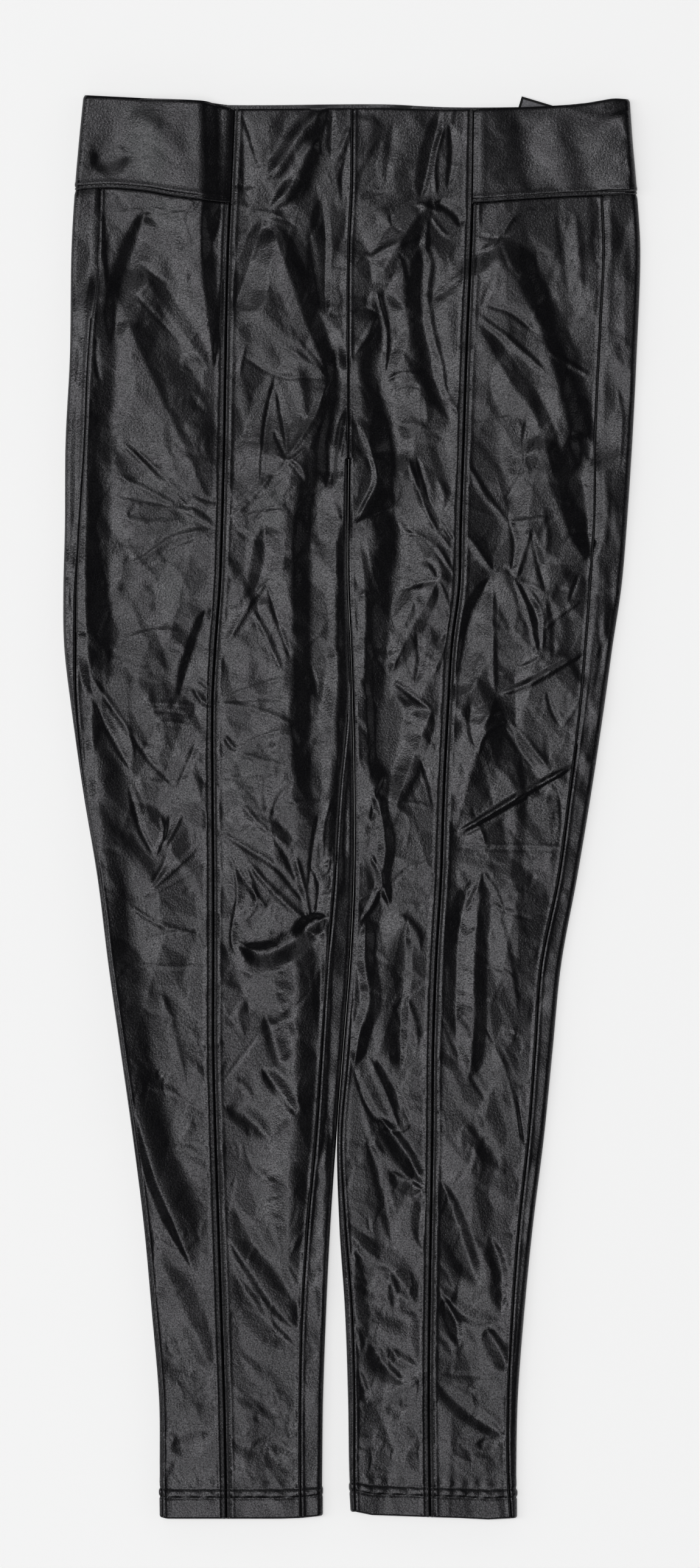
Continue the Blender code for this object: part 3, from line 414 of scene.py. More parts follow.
RIGHT_OUTER_FOLDS: FoldTable = {
    (0.15, 0.3): (
     (-0.62, 2.52, 3.36, 0.04, 92, 146, 109, 151, 128, 166),
     (0.46, 2.1, 2.1, 0.05, 107, 296, 121, 294, 139, 291)),
    (0.15, 0.2): (
     (0.66, 5.04, 2.52, 0.03, 86, 152, 108, 169, 137, 195),
     (-0.25, 1.5, 1.5, 0.04, 82, 227, 102, 222, 122, 217),
     (-0.25, 1.5, 1.89, 0.04, 122, 217, 118, 243, 123, 268),
     (0.38, 3.15, 2.1, 0.08, 128, 79, 112, 85, 102, 101),
     (0.46, 2.1, 2.1, 0.06, 176, 165, 186, 171, 197, 179),
     (-0.41, 2.1, 2.1, 0.06, 175, 193, 183, 181, 196, 179),
     (-0.29, 1.5, 1.89, 0.04, 122, 229, 117, 260, 102, 285),
     (-0.46, 2.52, 1.68, 0.06, 150, 350, 153, 341, 157, 331),
     (-0.33, 1.68, 1.68, 0.06, 134, 345, 142, 342, 152, 344),
     (-0.46, 2.1, 3.15, 0.06, 134, 411, 138, 425, 144, 437),
     (0.38, 2.1, 3.15, 0.06, 144, 437, 152, 427, 158, 414),
     (-0.41, 2.52, 3.78, 0.06, 82, 419, 81, 436, 86, 453),
     (0.54, 2.1, 3.15, 0.08, 87, 456, 92, 442, 108, 431),
     (-0.38, 2.52, 3.78, 0.3, 104, 436, 116, 453, 127, 467),
     (0.41, 3.78, 2.52, 0.3, 107, 430, 124, 450, 137, 467),
     (-0.49, 2.1, 2.1, 0.06, 71, 514, 96, 501, 124, 485),
     (-0.38, 2.1, 3.15, 0.05, 124, 470, 141, 478, 145, 510),
     (0.3, 7, 3.4, 0.06, 92, 540, 104, 575, 116, 640),
     (-0.38, 2.1, 2.1, 0.05, 95, 558, 108, 564, 127, 570),
     (0.33, 1.68, 1.68, 0.05, 90, 600, 101, 603, 115, 612)),
    (0.15, 0.15): (
     (1.5, 34.2, 10, 0.02, 86, 159, 107, 195, 126, 223, 141, 269),
     (0.58, 2.94, 2.94, 0.04, 134, 177, 149, 186, 165, 195),
     (1.8, 28.5, 20, 0.02, 123, 234, 137, 271, 151, 304, 162, 325),
     (-1.8, 16, 13.3, 0.06, 155, 229, 160, 271, 164, 321),
     (0.54, 3.78, 2.94, 0.03, 80, 255, 92, 276, 107, 295),
     (-0.49, 2.52, 3.78, 0.04, 107, 287, 112, 310, 110, 331),
     (0.7, 5.04, 2.94, 0.03, 123, 299, 118, 318, 113, 335),
     (-0.54, 2.94, 4.41, 0.03, 124, 301, 128, 321, 134, 344),
     (0.38, 2.52, 2.52, 0.04, 113, 335, 124, 339, 134, 344),
     (0.54, 4.41, 2.52, 0.04, 78, 302, 88, 316, 98, 330),
     (-1.61, 7, 19, 0.04, 97, 331, 84, 355, 76, 386, 67, 419),
     (0.58, 5.67, 2.52, 0.03, 98, 331, 97, 369, 99, 415),
     (-0.41, 2.52, 2.52, 0.05, 99, 330, 106, 327, 111, 333),
     (0.54, 2.52, 1.68, 0.04, 111, 333, 121, 355, 128, 388),
     (-0.46, 1.68, 2.52, 0.04, 114, 334, 127, 360, 130, 387),
     (0.38, 2.52, 1.68, 0.04, 118, 335, 131, 358, 131, 387),
     (0.49, 2.1, 2.1, 0.04, 100, 400, 121, 394, 135, 386),
     (1.04, 3.6, 3.6, 0.04, 99, 415, 121, 407, 144, 394, 162, 384),
     (0.41, 2.1, 3.15, 0.05, 131, 371, 144, 359, 159, 349),
     (1.6, 15.2, 17, 0.03, 99, 416, 88, 448, 71, 509),
     (1.43, 3, 3.6, 0.05, 70, 511, 93, 498, 121, 481, 146, 467, 156, 461),
     (0.38, 1.5, 1.5, 0.03, 70, 518, 99, 518, 152, 519),
     (-0.33, 1.5, 1.68, 0.04, 71, 520, 99, 521, 149, 522),
     (0.46, 3.15, 2.1, 0.04, 85, 501, 90, 510, 92, 518),
     (0.62, 4.41, 2.94, 0.03, 90, 536, 85, 551, 78, 565),
     (0.49, 3.78, 2.52, 0.03, 90, 536, 98, 548, 105, 564),
     (0.66, 1.68, 1.68, 0.06, 167, 344, 174, 341, 186, 342),
     (-0.46, 1.68, 1.68, 0.06, 168, 348, 176, 346, 186, 346),
     (0.54, 1.68, 1.68, 0.08, 155, 458, 162, 460, 167, 463),
     (-0.3, 3, 5, 0.05, 61, 635, 75, 665, 94, 697),
     (-0.54, 2.52, 3.15, 0.03, 90, 640, 108, 673, 121, 730),
     (0.49, 3.78, 2.52, 0.03, 94, 644, 111, 682, 116, 727)),
    (0.12, 0.15): (
     (2.4, 45, 18, 0.05, 102, 98, 113, 128, 128, 159, 140, 193, 148, 226, 155, 269),
     (-1.3, 10, 5, 0.12, 86, 540, 75, 570, 72, 610, 72, 655)),
    (0.2, 0.15): (
     (-1.5, 12, 30, 0.3, 117, 103, 137, 137, 144, 170, 155, 198, 163, 237, 165, 268),),
    (0.3, 0.3): (
     (0.38, 5.67, 3.78, 0.6, 154, 78, 156, 106, 159, 142),
     (-0.38, 3.78, 5.67, 0.6, 141, 80, 146, 109, 150, 142),
     (0.45, 10, 9, 0.6, 66, 938, 84, 944, 102, 948), (-0.8, 9, 8, 0.5, 84, 700, 92, 724, 104, 742)),
    (0.2, 0.3): (
     (-0.38, 2.1, 2.1, 0.08, 86, 97, 99, 100, 113, 97),
     (0.38, 2.1, 3.15, 0.08, 88, 109, 99, 103, 104, 92)),
    (0.2, 0.2): (
     (-0.33, 2.1, 3.15, 0.08, 99, 125, 93, 137, 89, 148),
     (0.41, 3.15, 2.52, 0.08, 176, 78, 180, 97, 175, 106),
     (-0.41, 2.1, 3.15, 0.08, 180, 117, 178, 142, 176, 165),
     (0.33, 3.78, 2.52, 0.4, 183, 198, 186, 226, 184, 260),
     (-0.58, 3.78, 5.67, 0.35, 135, 346, 140, 374, 138, 391),
     (0.33, 3.78, 2.52, 0.4, 172, 257, 176, 285, 173, 321),
     (-0.33, 2.52, 3.78, 0.4, 169, 358, 172, 386, 167, 414),
     (0.75, 5, 8, 0.15, 60, 822, 72, 838, 84, 845, 102, 846),
     (-0.98, 9, 5, 0.2, 91, 849, 101, 864, 109, 882), (-0.98, 8, 4, 0.2, 63, 828, 71, 846, 74, 864),
     (-0.38, 3, 3, 0.2, 60, 882, 85, 884, 108, 884),
     (-0.9, 7, 7, 0.25, 57, 887, 75, 905, 90, 916, 106, 925)),
    (0.12, 0.12): (
     (1.5, 9, 9, 0.08, 90, 536, 86, 570, 84, 610, 84, 645, 80, 683),),
    (0.25, 0.2): (
     (-1.35, 15, 7, 0.2, 60, 746, 69, 769, 79, 798, 88, 824),
     (-0.68, 5, 4, 0.25, 84, 932, 95, 929, 106, 923)),
    (0.25, 0.25): (
     (-0.98, 10, 5, 0.25, 95, 785, 103, 812, 103, 843),),
}

BACK_FOLDS: FoldTable = {
    (0.3, 0.3): (
     (0.7, 16, 22, 0.5, -150, 95, -120, 180, -60, 250),
     (0.8, 12, 12, 0.3, -20, 110, -60, 190, -130, 240),
     (0.7, 14, 12, 0.4, 150, 110, 110, 190, 30, 245), (0.6, 8, 8, 0.2, -170, 300, -110, 340, -40, 350),
     (0.7, 8, 9, 0.2, 150, 300, 100, 350, 30, 372), (0.6, 14, 12, 0.6, -150, 380, -120, 440, -60, 470),
     (0.6, 12, 14, 0.6, 130, 400, 90, 450, 40, 480), (0.6, 10, 10, 0.5, 120, 640, 90, 700, 40, 730),
     (0.6, 10, 10, 0.5, -140, 680, -100, 740, -50, 760), (0.7, 9, 9, 0.3, 110, 780, 80, 840, 40, 870),
     (0.7, 9, 9, 0.3, -125, 800, -90, 860, -40, 880), (0.6, 8, 8, 0.3, -120, 915, -80, 925, -40, 920),
     (0.6, 8, 8, 0.3, 30, 915, 60, 925, 100, 918)),
    (0.2, 0.3): (
     (0.6, 10, 14, 0.4, 20, 100, 50, 180, 120, 250), (0.8, 10, 10, 0.3, -8, 262, -50, 300, -120, 330),
     (0.7, 9, 12, 0.3, 8, 266, 60, 310, 130, 330), (0.8, 8, 8, 0.2, -175, 500, -120, 520, -30, 512),
     (0.7, 7, 8, 0.2, 140, 500, 90, 530, 20, 540), (0.8, 8, 7, 0.2, -165, 545, -110, 560, -20, 575),
     (0.6, 7, 7, 0.2, 135, 560, 80, 570, 20, 590), (0.7, 8, 8, 0.2, -150, 600, -100, 590, -30, 610)),
}
FRONT_TABLES = (WAISTBAND_FOLDS, LEFT_INNER_FOLDS, LEFT_OUTER_FOLDS, RIGHT_INNER_FOLDS, RIGHT_OUTER_FOLDS)


# ---------------------------------------------------------------- curves
def smooth(points: Runs, at: Array) -> Array:
    """Reads a smooth curve through (place, value) points, level past both ends.

    Args:
        points: places in rising order, each with its value.
        at: the places to read.

    Returns:
        The values, in the shape of ``at``.
    """
    places, values = np.array(points, float).T
    slopes = np.gradient(values)
    slopes[1:-1] = (values[2:] - values[:-2]) / (places[2:] - places[:-2])
    slopes[0] = (values[1] - values[0]) / (places[1] - places[0])
    slopes[-1] = (values[-1] - values[-2]) / (places[-1] - places[-2])
    at = np.clip(at, places[0], places[-1])
    low = np.clip(np.searchsorted(places, at) - 1, 0, len(places) - 2)
    span = places[low + 1] - places[low]
    t = (at - places[low]) / span
    return ((2 * t**3 - 3 * t**2 + 1) * values[low] + (t**3 - 2 * t**2 + t) * slopes[low] * span
            + (3 * t**2 - 2 * t**3) * values[low + 1] + (t**3 - t**2) * slopes[low + 1] * span)


def straight(points: Runs, at: Array) -> Array:
    """Reads straight runs between (place, value) points."""
    places, values = np.array(points, float).T
    return np.interp(at, places, values)


def rounded(share: Array) -> Array:
    """Rises like a quarter circle, from 0 to 1 as share does."""
    return np.sqrt(1.0 - (1.0 - np.clip(share, 0.0, 1.0)) ** 2)


def ease(share: Array) -> Array:
    """Goes smoothly from 0 to 1 as share does."""
    share = np.clip(share, 0.0, 1.0)
    return share * share * (3 - 2 * share)


def bump(distance: Array, spread: float) -> Array:
    """A bell curve, 1 at nought and low past its spread."""
    return np.exp(-((distance / spread) ** 2))


def soft_floor(values: Array, lowest: Array | float, softness: float) -> Array:
    """Keeps values above lowest, with a smooth join."""
    return lowest + softness * np.logaddexp(0.0, (values - lowest) / softness)


@dataclass(frozen=True)
class Pattern:
    """Where the garment's seams and edges lie, all in mm."""

    seam_inset: float = 1.3
    rounding: float = 3.6
    rounding_at_crotch: float = 2.4
    rounding_growth: float = 60.0
    seam_gap: float = 0.12
    leg_gap_cut: float = 0.4
    least_leg_gap: float = 0.06

    def seam(self, name: str, down: Array) -> Array:
        """The place across of a named column of the seam table."""
        column = SEAM_NAMES.index(name)
        return smooth(tuple((row[0], row[column]) for row in SEAM_ROWS), down)

    def outer(self, leg: Leg, down: Array) -> Array:
        """The outer folded edge."""
        return self.seam("outer_" + leg.word, down)

    def inner(self, leg: Leg, down: Array) -> Array:
        """The middle line above the crotch, and the inner folded edge of the leg below it."""
        half_gap = np.maximum(self.seam("leg_gap", down) - self.leg_gap_cut, self.least_leg_gap) / 2
        return self.seam("middle", down) - leg.value * half_gap

    def side(self, leg: Leg, down: Array) -> Array:
        """The side seam, kept off the outer edge.

        Args:
            leg: the side of the garment.
            down: places down.

        Returns:
            Places across.
        """
        least = self.outer(leg, down) + leg.value * self.seam_inset
        place = self.seam("side_" + leg.word, down)
        return np.where(leg.value * (place - least) > 0, place, least)

    def inseam(self, leg: Leg, down: Array) -> Array:
        """The inseam, kept off the inner edge.

        Args:
            leg: the side of the garment.
            down: places down.

        Returns:
            Places across.
        """
        most = self.inner(leg, down) - leg.value * self.seam_inset
        place = self.seam("inseam_" + leg.word, down)
        return np.where(leg.value * (most - place) > 0, place, most)

    def princess(self, leg: Leg, down: Array) -> Array:
        """The double-corded seam between the inner and the outer front panel."""
        return self.seam("princess_" + leg.word, down)

    def inner_rounding(self, down: Array) -> Array:
        """How far in the rounding of an inner edge reaches.

        Args:
            down: places down.

        Returns:
            Distances from the edge.
        """
        grown = np.clip((down - CROTCH) / self.rounding_growth, 0.0, 1.0)
        depth = self.rounding_at_crotch + (self.rounding - self.rounding_at_crotch) * grown
        return np.where(down < CROTCH, 0.0, depth)

    def down_at(self, x: Array, station: Array, face: Face) -> Array:
        """Bends a row of points to follow the waist, the waistband's lower seam and the hem.

        Args:
            x: places across.
            station: the rows' places down before they are bent.
            face: the front's top edge lies a little lower than the back's.

        Returns:
            Places down.
        """
        drop = straight(FRONT_DROP, x) if face is Face.FRONT else 0.0
        waist = smooth(WAIST_EDGE, x) + drop
        band = smooth(BAND_EDGE, x)
        hem = straight(HEM_EDGE, x)
        at_waist = waist + (band - waist) * station / BAND
        at_hip = band + (CROTCH - band) * (station - BAND) / (CROTCH - BAND)
        bent = LENGTH - HEM_BEND_START
        at_hem = HEM_BEND_START + (hem - HEM_BEND_START) * (station - HEM_BEND_START) / bent
        return np.select([station <= BAND, station <= CROTCH, station <= HEM_BEND_START],
                         [at_waist, at_hip, station], at_hem)

    def across(self, line: Line, leg: Leg, station: Array, face: Face) -> Array:
        """Where a seam or an edge crosses each row, with the row's bend allowed for.

        Args:
            line: gives the places across of the seam or the edge.
            leg: the side of the garment.
            station: the rows.
            face: the layer.

        Returns:
            Places across.
        """
        down = station
        for _ in range(3):
            down = self.down_at(line(leg, down), station, face)
        return line(leg, down)


# ---------------------------------------------------------------- the surface's height
@dataclass
class HeightField:
    """Heights on an even grid of places across and down, in mm."""

    left: float
    right: float
    top: float
    bottom: float
    step: float
    values: Array = field(init=False)

    def __post_init__(self) -> None:
        self.xs = np.arange(self.left, self.right, self.step)
        self.downs = np.arange(self.top, self.bottom, self.step)
        self.values = np.zeros((len(self.downs), len(self.xs)))

    def at(self, x: Array, down: Array) -> Array:
        """Reads the height at places between grid points.

        Args:
            x: places across.
            down: places down.

        Returns:
            The heights.
        """
        u = np.clip((x - self.left) / self.step, 0, len(self.xs) - 1.001)
        v = np.clip((down - self.top) / self.step, 0, len(self.downs) - 1.001)
        i, j = v.astype(int), u.astype(int)
        a, b = v - i, u - j
        upper = self.values[i, j] * (1 - b) + self.values[i, j + 1] * b
        lower = self.values[i + 1, j] * (1 - b) + self.values[i + 1, j + 1] * b
        return upper * (1 - a) + lower * a

    def add_fold(self, fold: "Fold") -> None:
        """Adds one fold over the part of the grid that it reaches.

        Args:
            fold: the fold.
        """
        path = fold.path()
        reach = fold.reach
        low, high = path.min(0) - reach, path.max(0) + reach
        j0, j1 = np.searchsorted(self.xs, [low[0], high[0]])
        i0, i1 = np.searchsorted(self.downs, [low[1], high[1]])
        if j1 <= j0 or i1 <= i0:
            return
        x, down = np.meshgrid(self.xs[j0:j1], self.downs[i0:i1])
        self.values[i0:i1, j0:j1] += fold.height_at(x, down, path)

    def add_table(self, table: FoldTable) -> None:
        """Adds every fold of a table.

        Args:
            table: the folds, in groups by how they fade.
        """
        for fades, rows in table.items():
            for row in rows:
                self.add_fold(Fold(*row[:4], *fades, tuple(zip(row[4::2], row[5::2]))))

    def add_waves(self, rng: np.random.Generator, count: int, shortest: float, longest: float,
                  height: float) -> None:
        """Adds a gentle unevenness made of waves in random directions.

        Args:
            rng: the source of random numbers.
            count: how many waves.
            shortest: the shortest wavelength.
            longest: the longest.
            height: about how high they are together.
        """
        x, down = self.xs[None, :], self.downs[:, None]
        for _ in range(count):
            number = 2 * np.pi / rng.uniform(shortest, longest)
            turn = rng.uniform(0, 2 * np.pi)
            phase = rng.uniform(0, 2 * np.pi)
            self.values += height / np.sqrt(count / 2) * np.sin(
                number * (np.cos(turn) * x + np.sin(turn) * down) + phase)


@dataclass(frozen=True)
class Fold:
    """A ridge or a trough along a path, with flanks nearly plane and a crest sharp or soft."""

    height: float
    left_width: float
    right_width: float
    crest: float
    fade_in: float
    fade_out: float
    points: Runs

    foot: float = 0.02
    foot_growth: float = 0.32
    end_width: float = 0.25
    longest_pointed: float = 150.0
    shortest_even: float = 60.0

    @property
    def pointed(self) -> float:
        """How far the fold narrows all the way to its ends.

        Returns:
            1 for a short fold, 0 for a long one.
        """
        points = np.array(self.points, float)
        length = float(np.linalg.norm(np.diff(points, axis=0), axis=1).sum())
        return min(max((self.longest_pointed - length) / self.shortest_even, 0.0), 1.0)

    @property
    def reach(self) -> float:
        """How far from its path the fold is felt."""
        return max(self.left_width, self.right_width) * 1.7

    def path(self, spacing: float = 3.0) -> Array:
        """The path as closely spaced points.

        Args:
            spacing: about how far apart the points are.

        Returns:
            Points (across, down).
        """
        points = np.array(self.points, float)
        along = np.concatenate([[0.0], np.cumsum(np.linalg.norm(np.diff(points, axis=0), axis=1))])
        at = np.linspace(0.0, along[-1], max(int(along[-1] / spacing), 2) + 1)
        return np.stack([smooth(tuple(zip(along, points[:, k])), at) for k in (0, 1)], axis=1)

    def profile(self, u: Array) -> Array:
        """The cross-section.

        Args:
            u: distances as a share of the width.

        Returns:
            Heights, 1 at the crest and 0 far off.
        """
        slope = 1.0 - np.sqrt(u * u + self.crest**2)
        foot = self.foot + self.foot_growth * self.crest
        raised = foot * np.logaddexp(0.0, slope / foot)
        return raised / (foot * np.logaddexp(0.0, (1.0 - self.crest) / foot))

    def height_at(self, x: Array, down: Array, path: Array) -> Array:
        """The fold's height at places near its path.

        Args:
            x: places across.
            down: places down.
            path: the fold's path.

        Returns:
            The heights.
        """
        best = np.full(x.shape, np.inf)
        side = np.zeros(x.shape)
        along = np.zeros(x.shape)
        count = len(path) - 1
        for k in range(count):
            (x0, d0), (x1, d1) = path[k], path[k + 1]
            run_x, run_d = x1 - x0, d1 - d0
            squared = run_x**2 + run_d**2 + 1e-9
            share = np.clip(((x - x0) * run_x + (down - d0) * run_d) / squared, 0.0, 1.0)
            off_x, off_d = x - x0 - share * run_x, down - d0 - share * run_d
            apart = off_x**2 + off_d**2
            closer = apart < best
            best = np.where(closer, apart, best)
            side = np.where(closer, off_x * run_d - off_d * run_x, side)
            along = np.where(closer, (k + share) / count, along)
        width = np.where(side > 0, self.right_width, self.left_width)
        faded = ease(along / self.fade_in) * ease((1.0 - along) / self.fade_out)
        spindle = (4.0 * along * (1.0 - along)) ** 0.7
        narrowed = faded + (spindle * faded - faded) * self.pointed
        width = width * (self.end_width + (1.0 - self.end_width) * narrowed)
        return self.height * faded * self.profile(np.sqrt(best) / width)


@dataclass(frozen=True)
class Crumple:
    """Plane facets that meet in straight creases, as in cloth that was crushed and laid flat.

    The height is the difference of the squared distances to the nearest points of two scattered
    sets, which is plane between its creases.
    """

    spacing: float
    stretch: float
    turn: float
    slope: float
    coarse: float = 1.0
    reach: float = 600.0
    pivot: float = 490.0

    def scatter(self, rng: np.random.Generator) -> Array:
        """Points about one spacing apart over the turned and stretched field.

        Args:
            rng: the source of random numbers.

        Returns:
            Points of the turned field.
        """
        reach = self.reach
        count = int(2 * reach / self.spacing)
        u, v = np.meshgrid(np.arange(count), np.arange(int(count / self.stretch)))
        cells = np.stack([u.ravel(), v.ravel()], axis=1) + rng.random((u.size, 2))
        return cells * self.spacing - np.array([reach, reach / self.stretch])

    def nearest(self, u: Array, v: Array, points: Array) -> Array:
        """Squared distance from each place to the nearest point.

        Args:
            u: places across the turned field.
            v: places along it.
            points: the scattered points.

        Returns:
            The squared distances.
        """
        best = np.full(u.shape, np.inf)
        margin, strip = self.spacing * 2, 12
        for i in range(0, len(u), strip):
            part = slice(i, i + strip)
            close = points[(points[:, 1] > v[part].min() - margin) & (points[:, 1] < v[part].max() + margin)]
            close = close[(close[:, 0] > u[part].min() - margin) & (close[:, 0] < u[part].max() + margin)]
            for x, y in close:
                best[part] = np.minimum(best[part], (u[part] - x) ** 2 + (v[part] - y) ** 2)
        return best

    def add_to(self, field_: HeightField, rng: np.random.Generator) -> None:
        """Adds the facets to a field, strongest where the cloth is most creased.

        Args:
            field_: the field.
            rng: the source of random numbers.
        """
        xs = np.arange(field_.left, field_.right, self.coarse)
        downs = np.arange(field_.top, field_.bottom, self.coarse)
        x, down = np.meshgrid(xs, downs)
        cos, sin = np.cos(self.turn), np.sin(self.turn)
        u = cos * x + sin * (down - self.pivot)
        v = (cos * (down - self.pivot) - sin * x) / self.stretch
        first, second = (self.nearest(u, v, self.scatter(rng)) for _ in range(2))
        height = (first - second) * self.slope / (1.1 * self.spacing) * creasing(x, down)
        coarse = HeightField(field_.left, field_.right, field_.top, field_.bottom, self.coarse)
        coarse.values = height
        full_x, full_down = np.meshgrid(field_.xs, field_.downs)
        field_.values += coarse.at(full_x, full_down)


CRUMPLES = (Crumple(42.0, 1.7, 0.12, 0.060), Crumple(19.0, 1.5, -0.5, 0.050))

# Where the cloth is creased: across, down, reach across, reach down, how strongly.
CREASED = (
    (-150, 35, 60, 40, 0.25), (150, 35, 60, 40, 0.30), (0, 40, 60, 50, 0.45),
    (-130, 160, 60, 90, 0.45), (-45, 160, 45, 90, 0.85), (40, 170, 45, 90, 1.0), (130, 160, 60, 90, 0.75),
    (-150, 300, 50, 70, 0.9), (-60, 290, 50, 60, 1.0), (40, 300, 50, 60, 1.1), (130, 310, 60, 70, 1.1),
    (-140, 430, 50, 80, 1.0), (-50, 430, 50, 80, 1.0), (40, 430, 50, 80, 1.0), (120, 430, 60, 80, 1.0),
    (-130, 540, 50, 60, 1.0), (-60, 560, 50, 60, 0.9), (30, 560, 40, 60, 0.9), (110, 560, 50, 60, 0.8),
    (-120, 700, 40, 90, 0.35), (-60, 700, 50, 90, 0.45), (20, 700, 40, 90, 0.8), (90, 700, 50, 90, 0.7),
    (-100, 860, 60, 80, 0.35), (-50, 860, 50, 80, 0.35), (20, 850, 50, 80, 0.7), (90, 850, 50, 80, 0.6),
    (-80, 940, 90, 40, 0.5), (60, 940, 80, 40, 0.5),
)


def creasing(x: Array, down: Array) -> Array:
    """How strongly the cloth is creased at places, blended from the table.

    Args:
        x: places across.
        down: places down.

    Returns:
        The strengths.
    """
    total, weights = np.zeros(x.shape), np.full(x.shape, 1e-6)
    for place, level, across, along, strength in CREASED:
        weight = np.exp(-(((x - place) / across) ** 2) - ((down - level) / along) ** 2)
        total += weight * strength
        weights += weight
    return total / weights


@dataclass
class Drape:
    """How the flat garment's two layers lie: the front's creased top and the back's underside."""

    pattern: Pattern
    seed: int = 41
    rest: float = 6.3
    lowest: float = 3.0
    highest: float = 14.0
    edge_lowest: float = 4.4
    edge_reach: float = 9.0
    lowest_softness: float = 0.35
    highest_softness: float = 1.0
    wrinkles: int = 1100
    back_highest: float = 0.85
    lift_start: float = 0.7
    lift_reach: float = 8.0
    front_step: float = 0.5
    under_step: float = 1.0

    def __post_init__(self) -> None:
        rng = np.random.default_rng(self.seed)
        self.front = HeightField(*FIELD, self.front_step)
        self.front.values += self.rest
        for table in FRONT_TABLES:
            self.front.add_table(table)
        for fold in self.random_folds(rng):
            self.front.add_fold(fold)
        self.front.add_waves(rng, count=36, shortest=40.0, longest=90.0, height=0.06)
        for crumple in CRUMPLES:
            crumple.add_to(self.front, rng)
        self.hold_up_edges()
        self.under = HeightField(*FIELD, self.under_step)
        self.under.add_table(BACK_FOLDS)
        self.under.add_waves(rng, count=24, shortest=30.0, longest=80.0, height=0.12)
        self.under.values = np.clip(self.under.values, 0.0, self.back_highest)
        LOG.info("front lies %.1f to %.1f mm high", self.front.values.min(), self.front.values.max())

    def random_folds(self, rng: np.random.Generator) -> list[Fold]:
        """Short faint wrinkles between the listed folds.

        Args:
            rng: the source of random numbers.

        Returns:
            The wrinkles.
        """
        folds = []
        for _ in range(self.wrinkles):
            down = rng.uniform(8, 965)
            leg = Leg.LEFT if rng.random() < 0.5 else Leg.RIGHT
            edges = sorted((float(self.pattern.outer(leg, down)), float(self.pattern.inner(leg, down))))
            x = rng.uniform(*edges)
            turn = rng.normal(0.0, 0.7) + (0.0 if rng.random() < 0.6 else np.pi / 2)
            length = rng.uniform(6, 26) + 40 * rng.random() ** 4
            bend = rng.normal(0.0, 0.15) * length
            step_x, step_d = np.sin(turn) * length / 2, np.cos(turn) * length / 2
            points = ((x - step_x, down - step_d), (x + bend * np.cos(turn), down - bend * np.sin(turn)),
                      (x + step_x, down + step_d))
            left, right = rng.uniform(1.2, 4.5, 2)
            height = rng.uniform(0.03, 0.09) * min(left, right) * (1 if rng.random() < 0.5 else -1)
            folds.append(Fold(height, left, right, rng.uniform(0.03, 0.25), 0.35, 0.4, points))
        return folds

    def hold_up_edges(self) -> None:
        """Keeps the cloth between its lowest and highest, and fuller beside the folded edges."""
        x, down = self.front.xs[None, :], self.front.downs
        nearest = np.full(self.front.values.shape, np.inf)
        for leg in Leg:
            for line in (self.pattern.outer, self.pattern.inner):
                place = line(leg, down)[:, None]
                apart = np.abs(x - place)
                if line == self.pattern.inner:
                    apart = np.where(down[:, None] < CROTCH, FAR, apart)
                nearest = np.minimum(nearest, apart)
        lowest = self.lowest + (self.edge_lowest - self.lowest) * bump(nearest, self.edge_reach)
        values = soft_floor(self.front.values, lowest, self.lowest_softness)
        self.front.values = self.highest - soft_floor(self.highest - values, 0.0, self.highest_softness)

    def rounding(self, x: Array, down: Array, leg: Leg) -> tuple[Array, Array]:
        """Where places are within a folded edge's rounding.

        Args:
            x: places across.
            down: places down.
            leg: the side of the garment.

        Returns:
            Their share of the way in, 1 past it, and the place across of the rounding's crown.
        """
        share, crown = np.ones(x.shape), x.copy()
        edges = ((self.pattern.outer(leg, down), leg.value, np.full(x.shape, self.pattern.rounding)),
                 (self.pattern.inner(leg, down), -leg.value, self.pattern.inner_rounding(down)))
        for place, sense, depth in edges:
            inside = (x - place) * sense
            near = (depth > 0) & (inside < depth)
            share = np.where(near, np.maximum(inside, 0.0) / np.maximum(depth, 0.01), share)
            crown = np.where(near, place + sense * depth, crown)
        return share, crown

    def top(self, x: Array, down: Array, leg: Leg, rise: float = 0.0) -> Array:
        """Height of the front's outer face, before the relief of seams and hems.

        Args:
            x: places across.
            down: places down.
            leg: the side of the garment.
            rise: how far the piece stands above the panels.

        Returns:
            The heights.
        """
        share, crown = self.rounding(x, down, leg)
        half = (self.front.at(crown, down) + rise) / 2
        return half + half * rounded(share)

    def bottom(self, x: Array, down: Array, leg: Leg, rise: float = 0.0) -> Array:
        """Height of the back's outer face, which lies on the floor.

        Args:
            x: places across.
            down: places down.
            leg: the side of the garment.
            rise: how far the piece stands above the panels.

        Returns:
            The heights.
        """
        share, crown = self.rounding(x, down, leg)
        half = (self.front.at(crown, down) + rise) / 2
        edge = half - half * rounded(share)
        lifted = ease((share - self.lift_start) / (1.0 - self.lift_start))
        return edge + self.under.at(x, down) * lifted * self.inwards(x, down, leg)

    def inwards(self, x: Array, down: Array, leg: Leg) -> Array:
        """How far in from the folded edges, so that the underside's lift starts gently.

        Args:
            x: places across.
            down: places down.
            leg: the side of the garment.

        Returns:
            0 beside an edge, 1 a little way in.
        """
        outer = np.abs(x - self.pattern.outer(leg, down))
        inner = np.where(down < CROTCH, FAR, np.abs(x - self.pattern.inner(leg, down)))
        return ease((np.minimum(outer, inner) - self.pattern.rounding) / self.lift_reach)


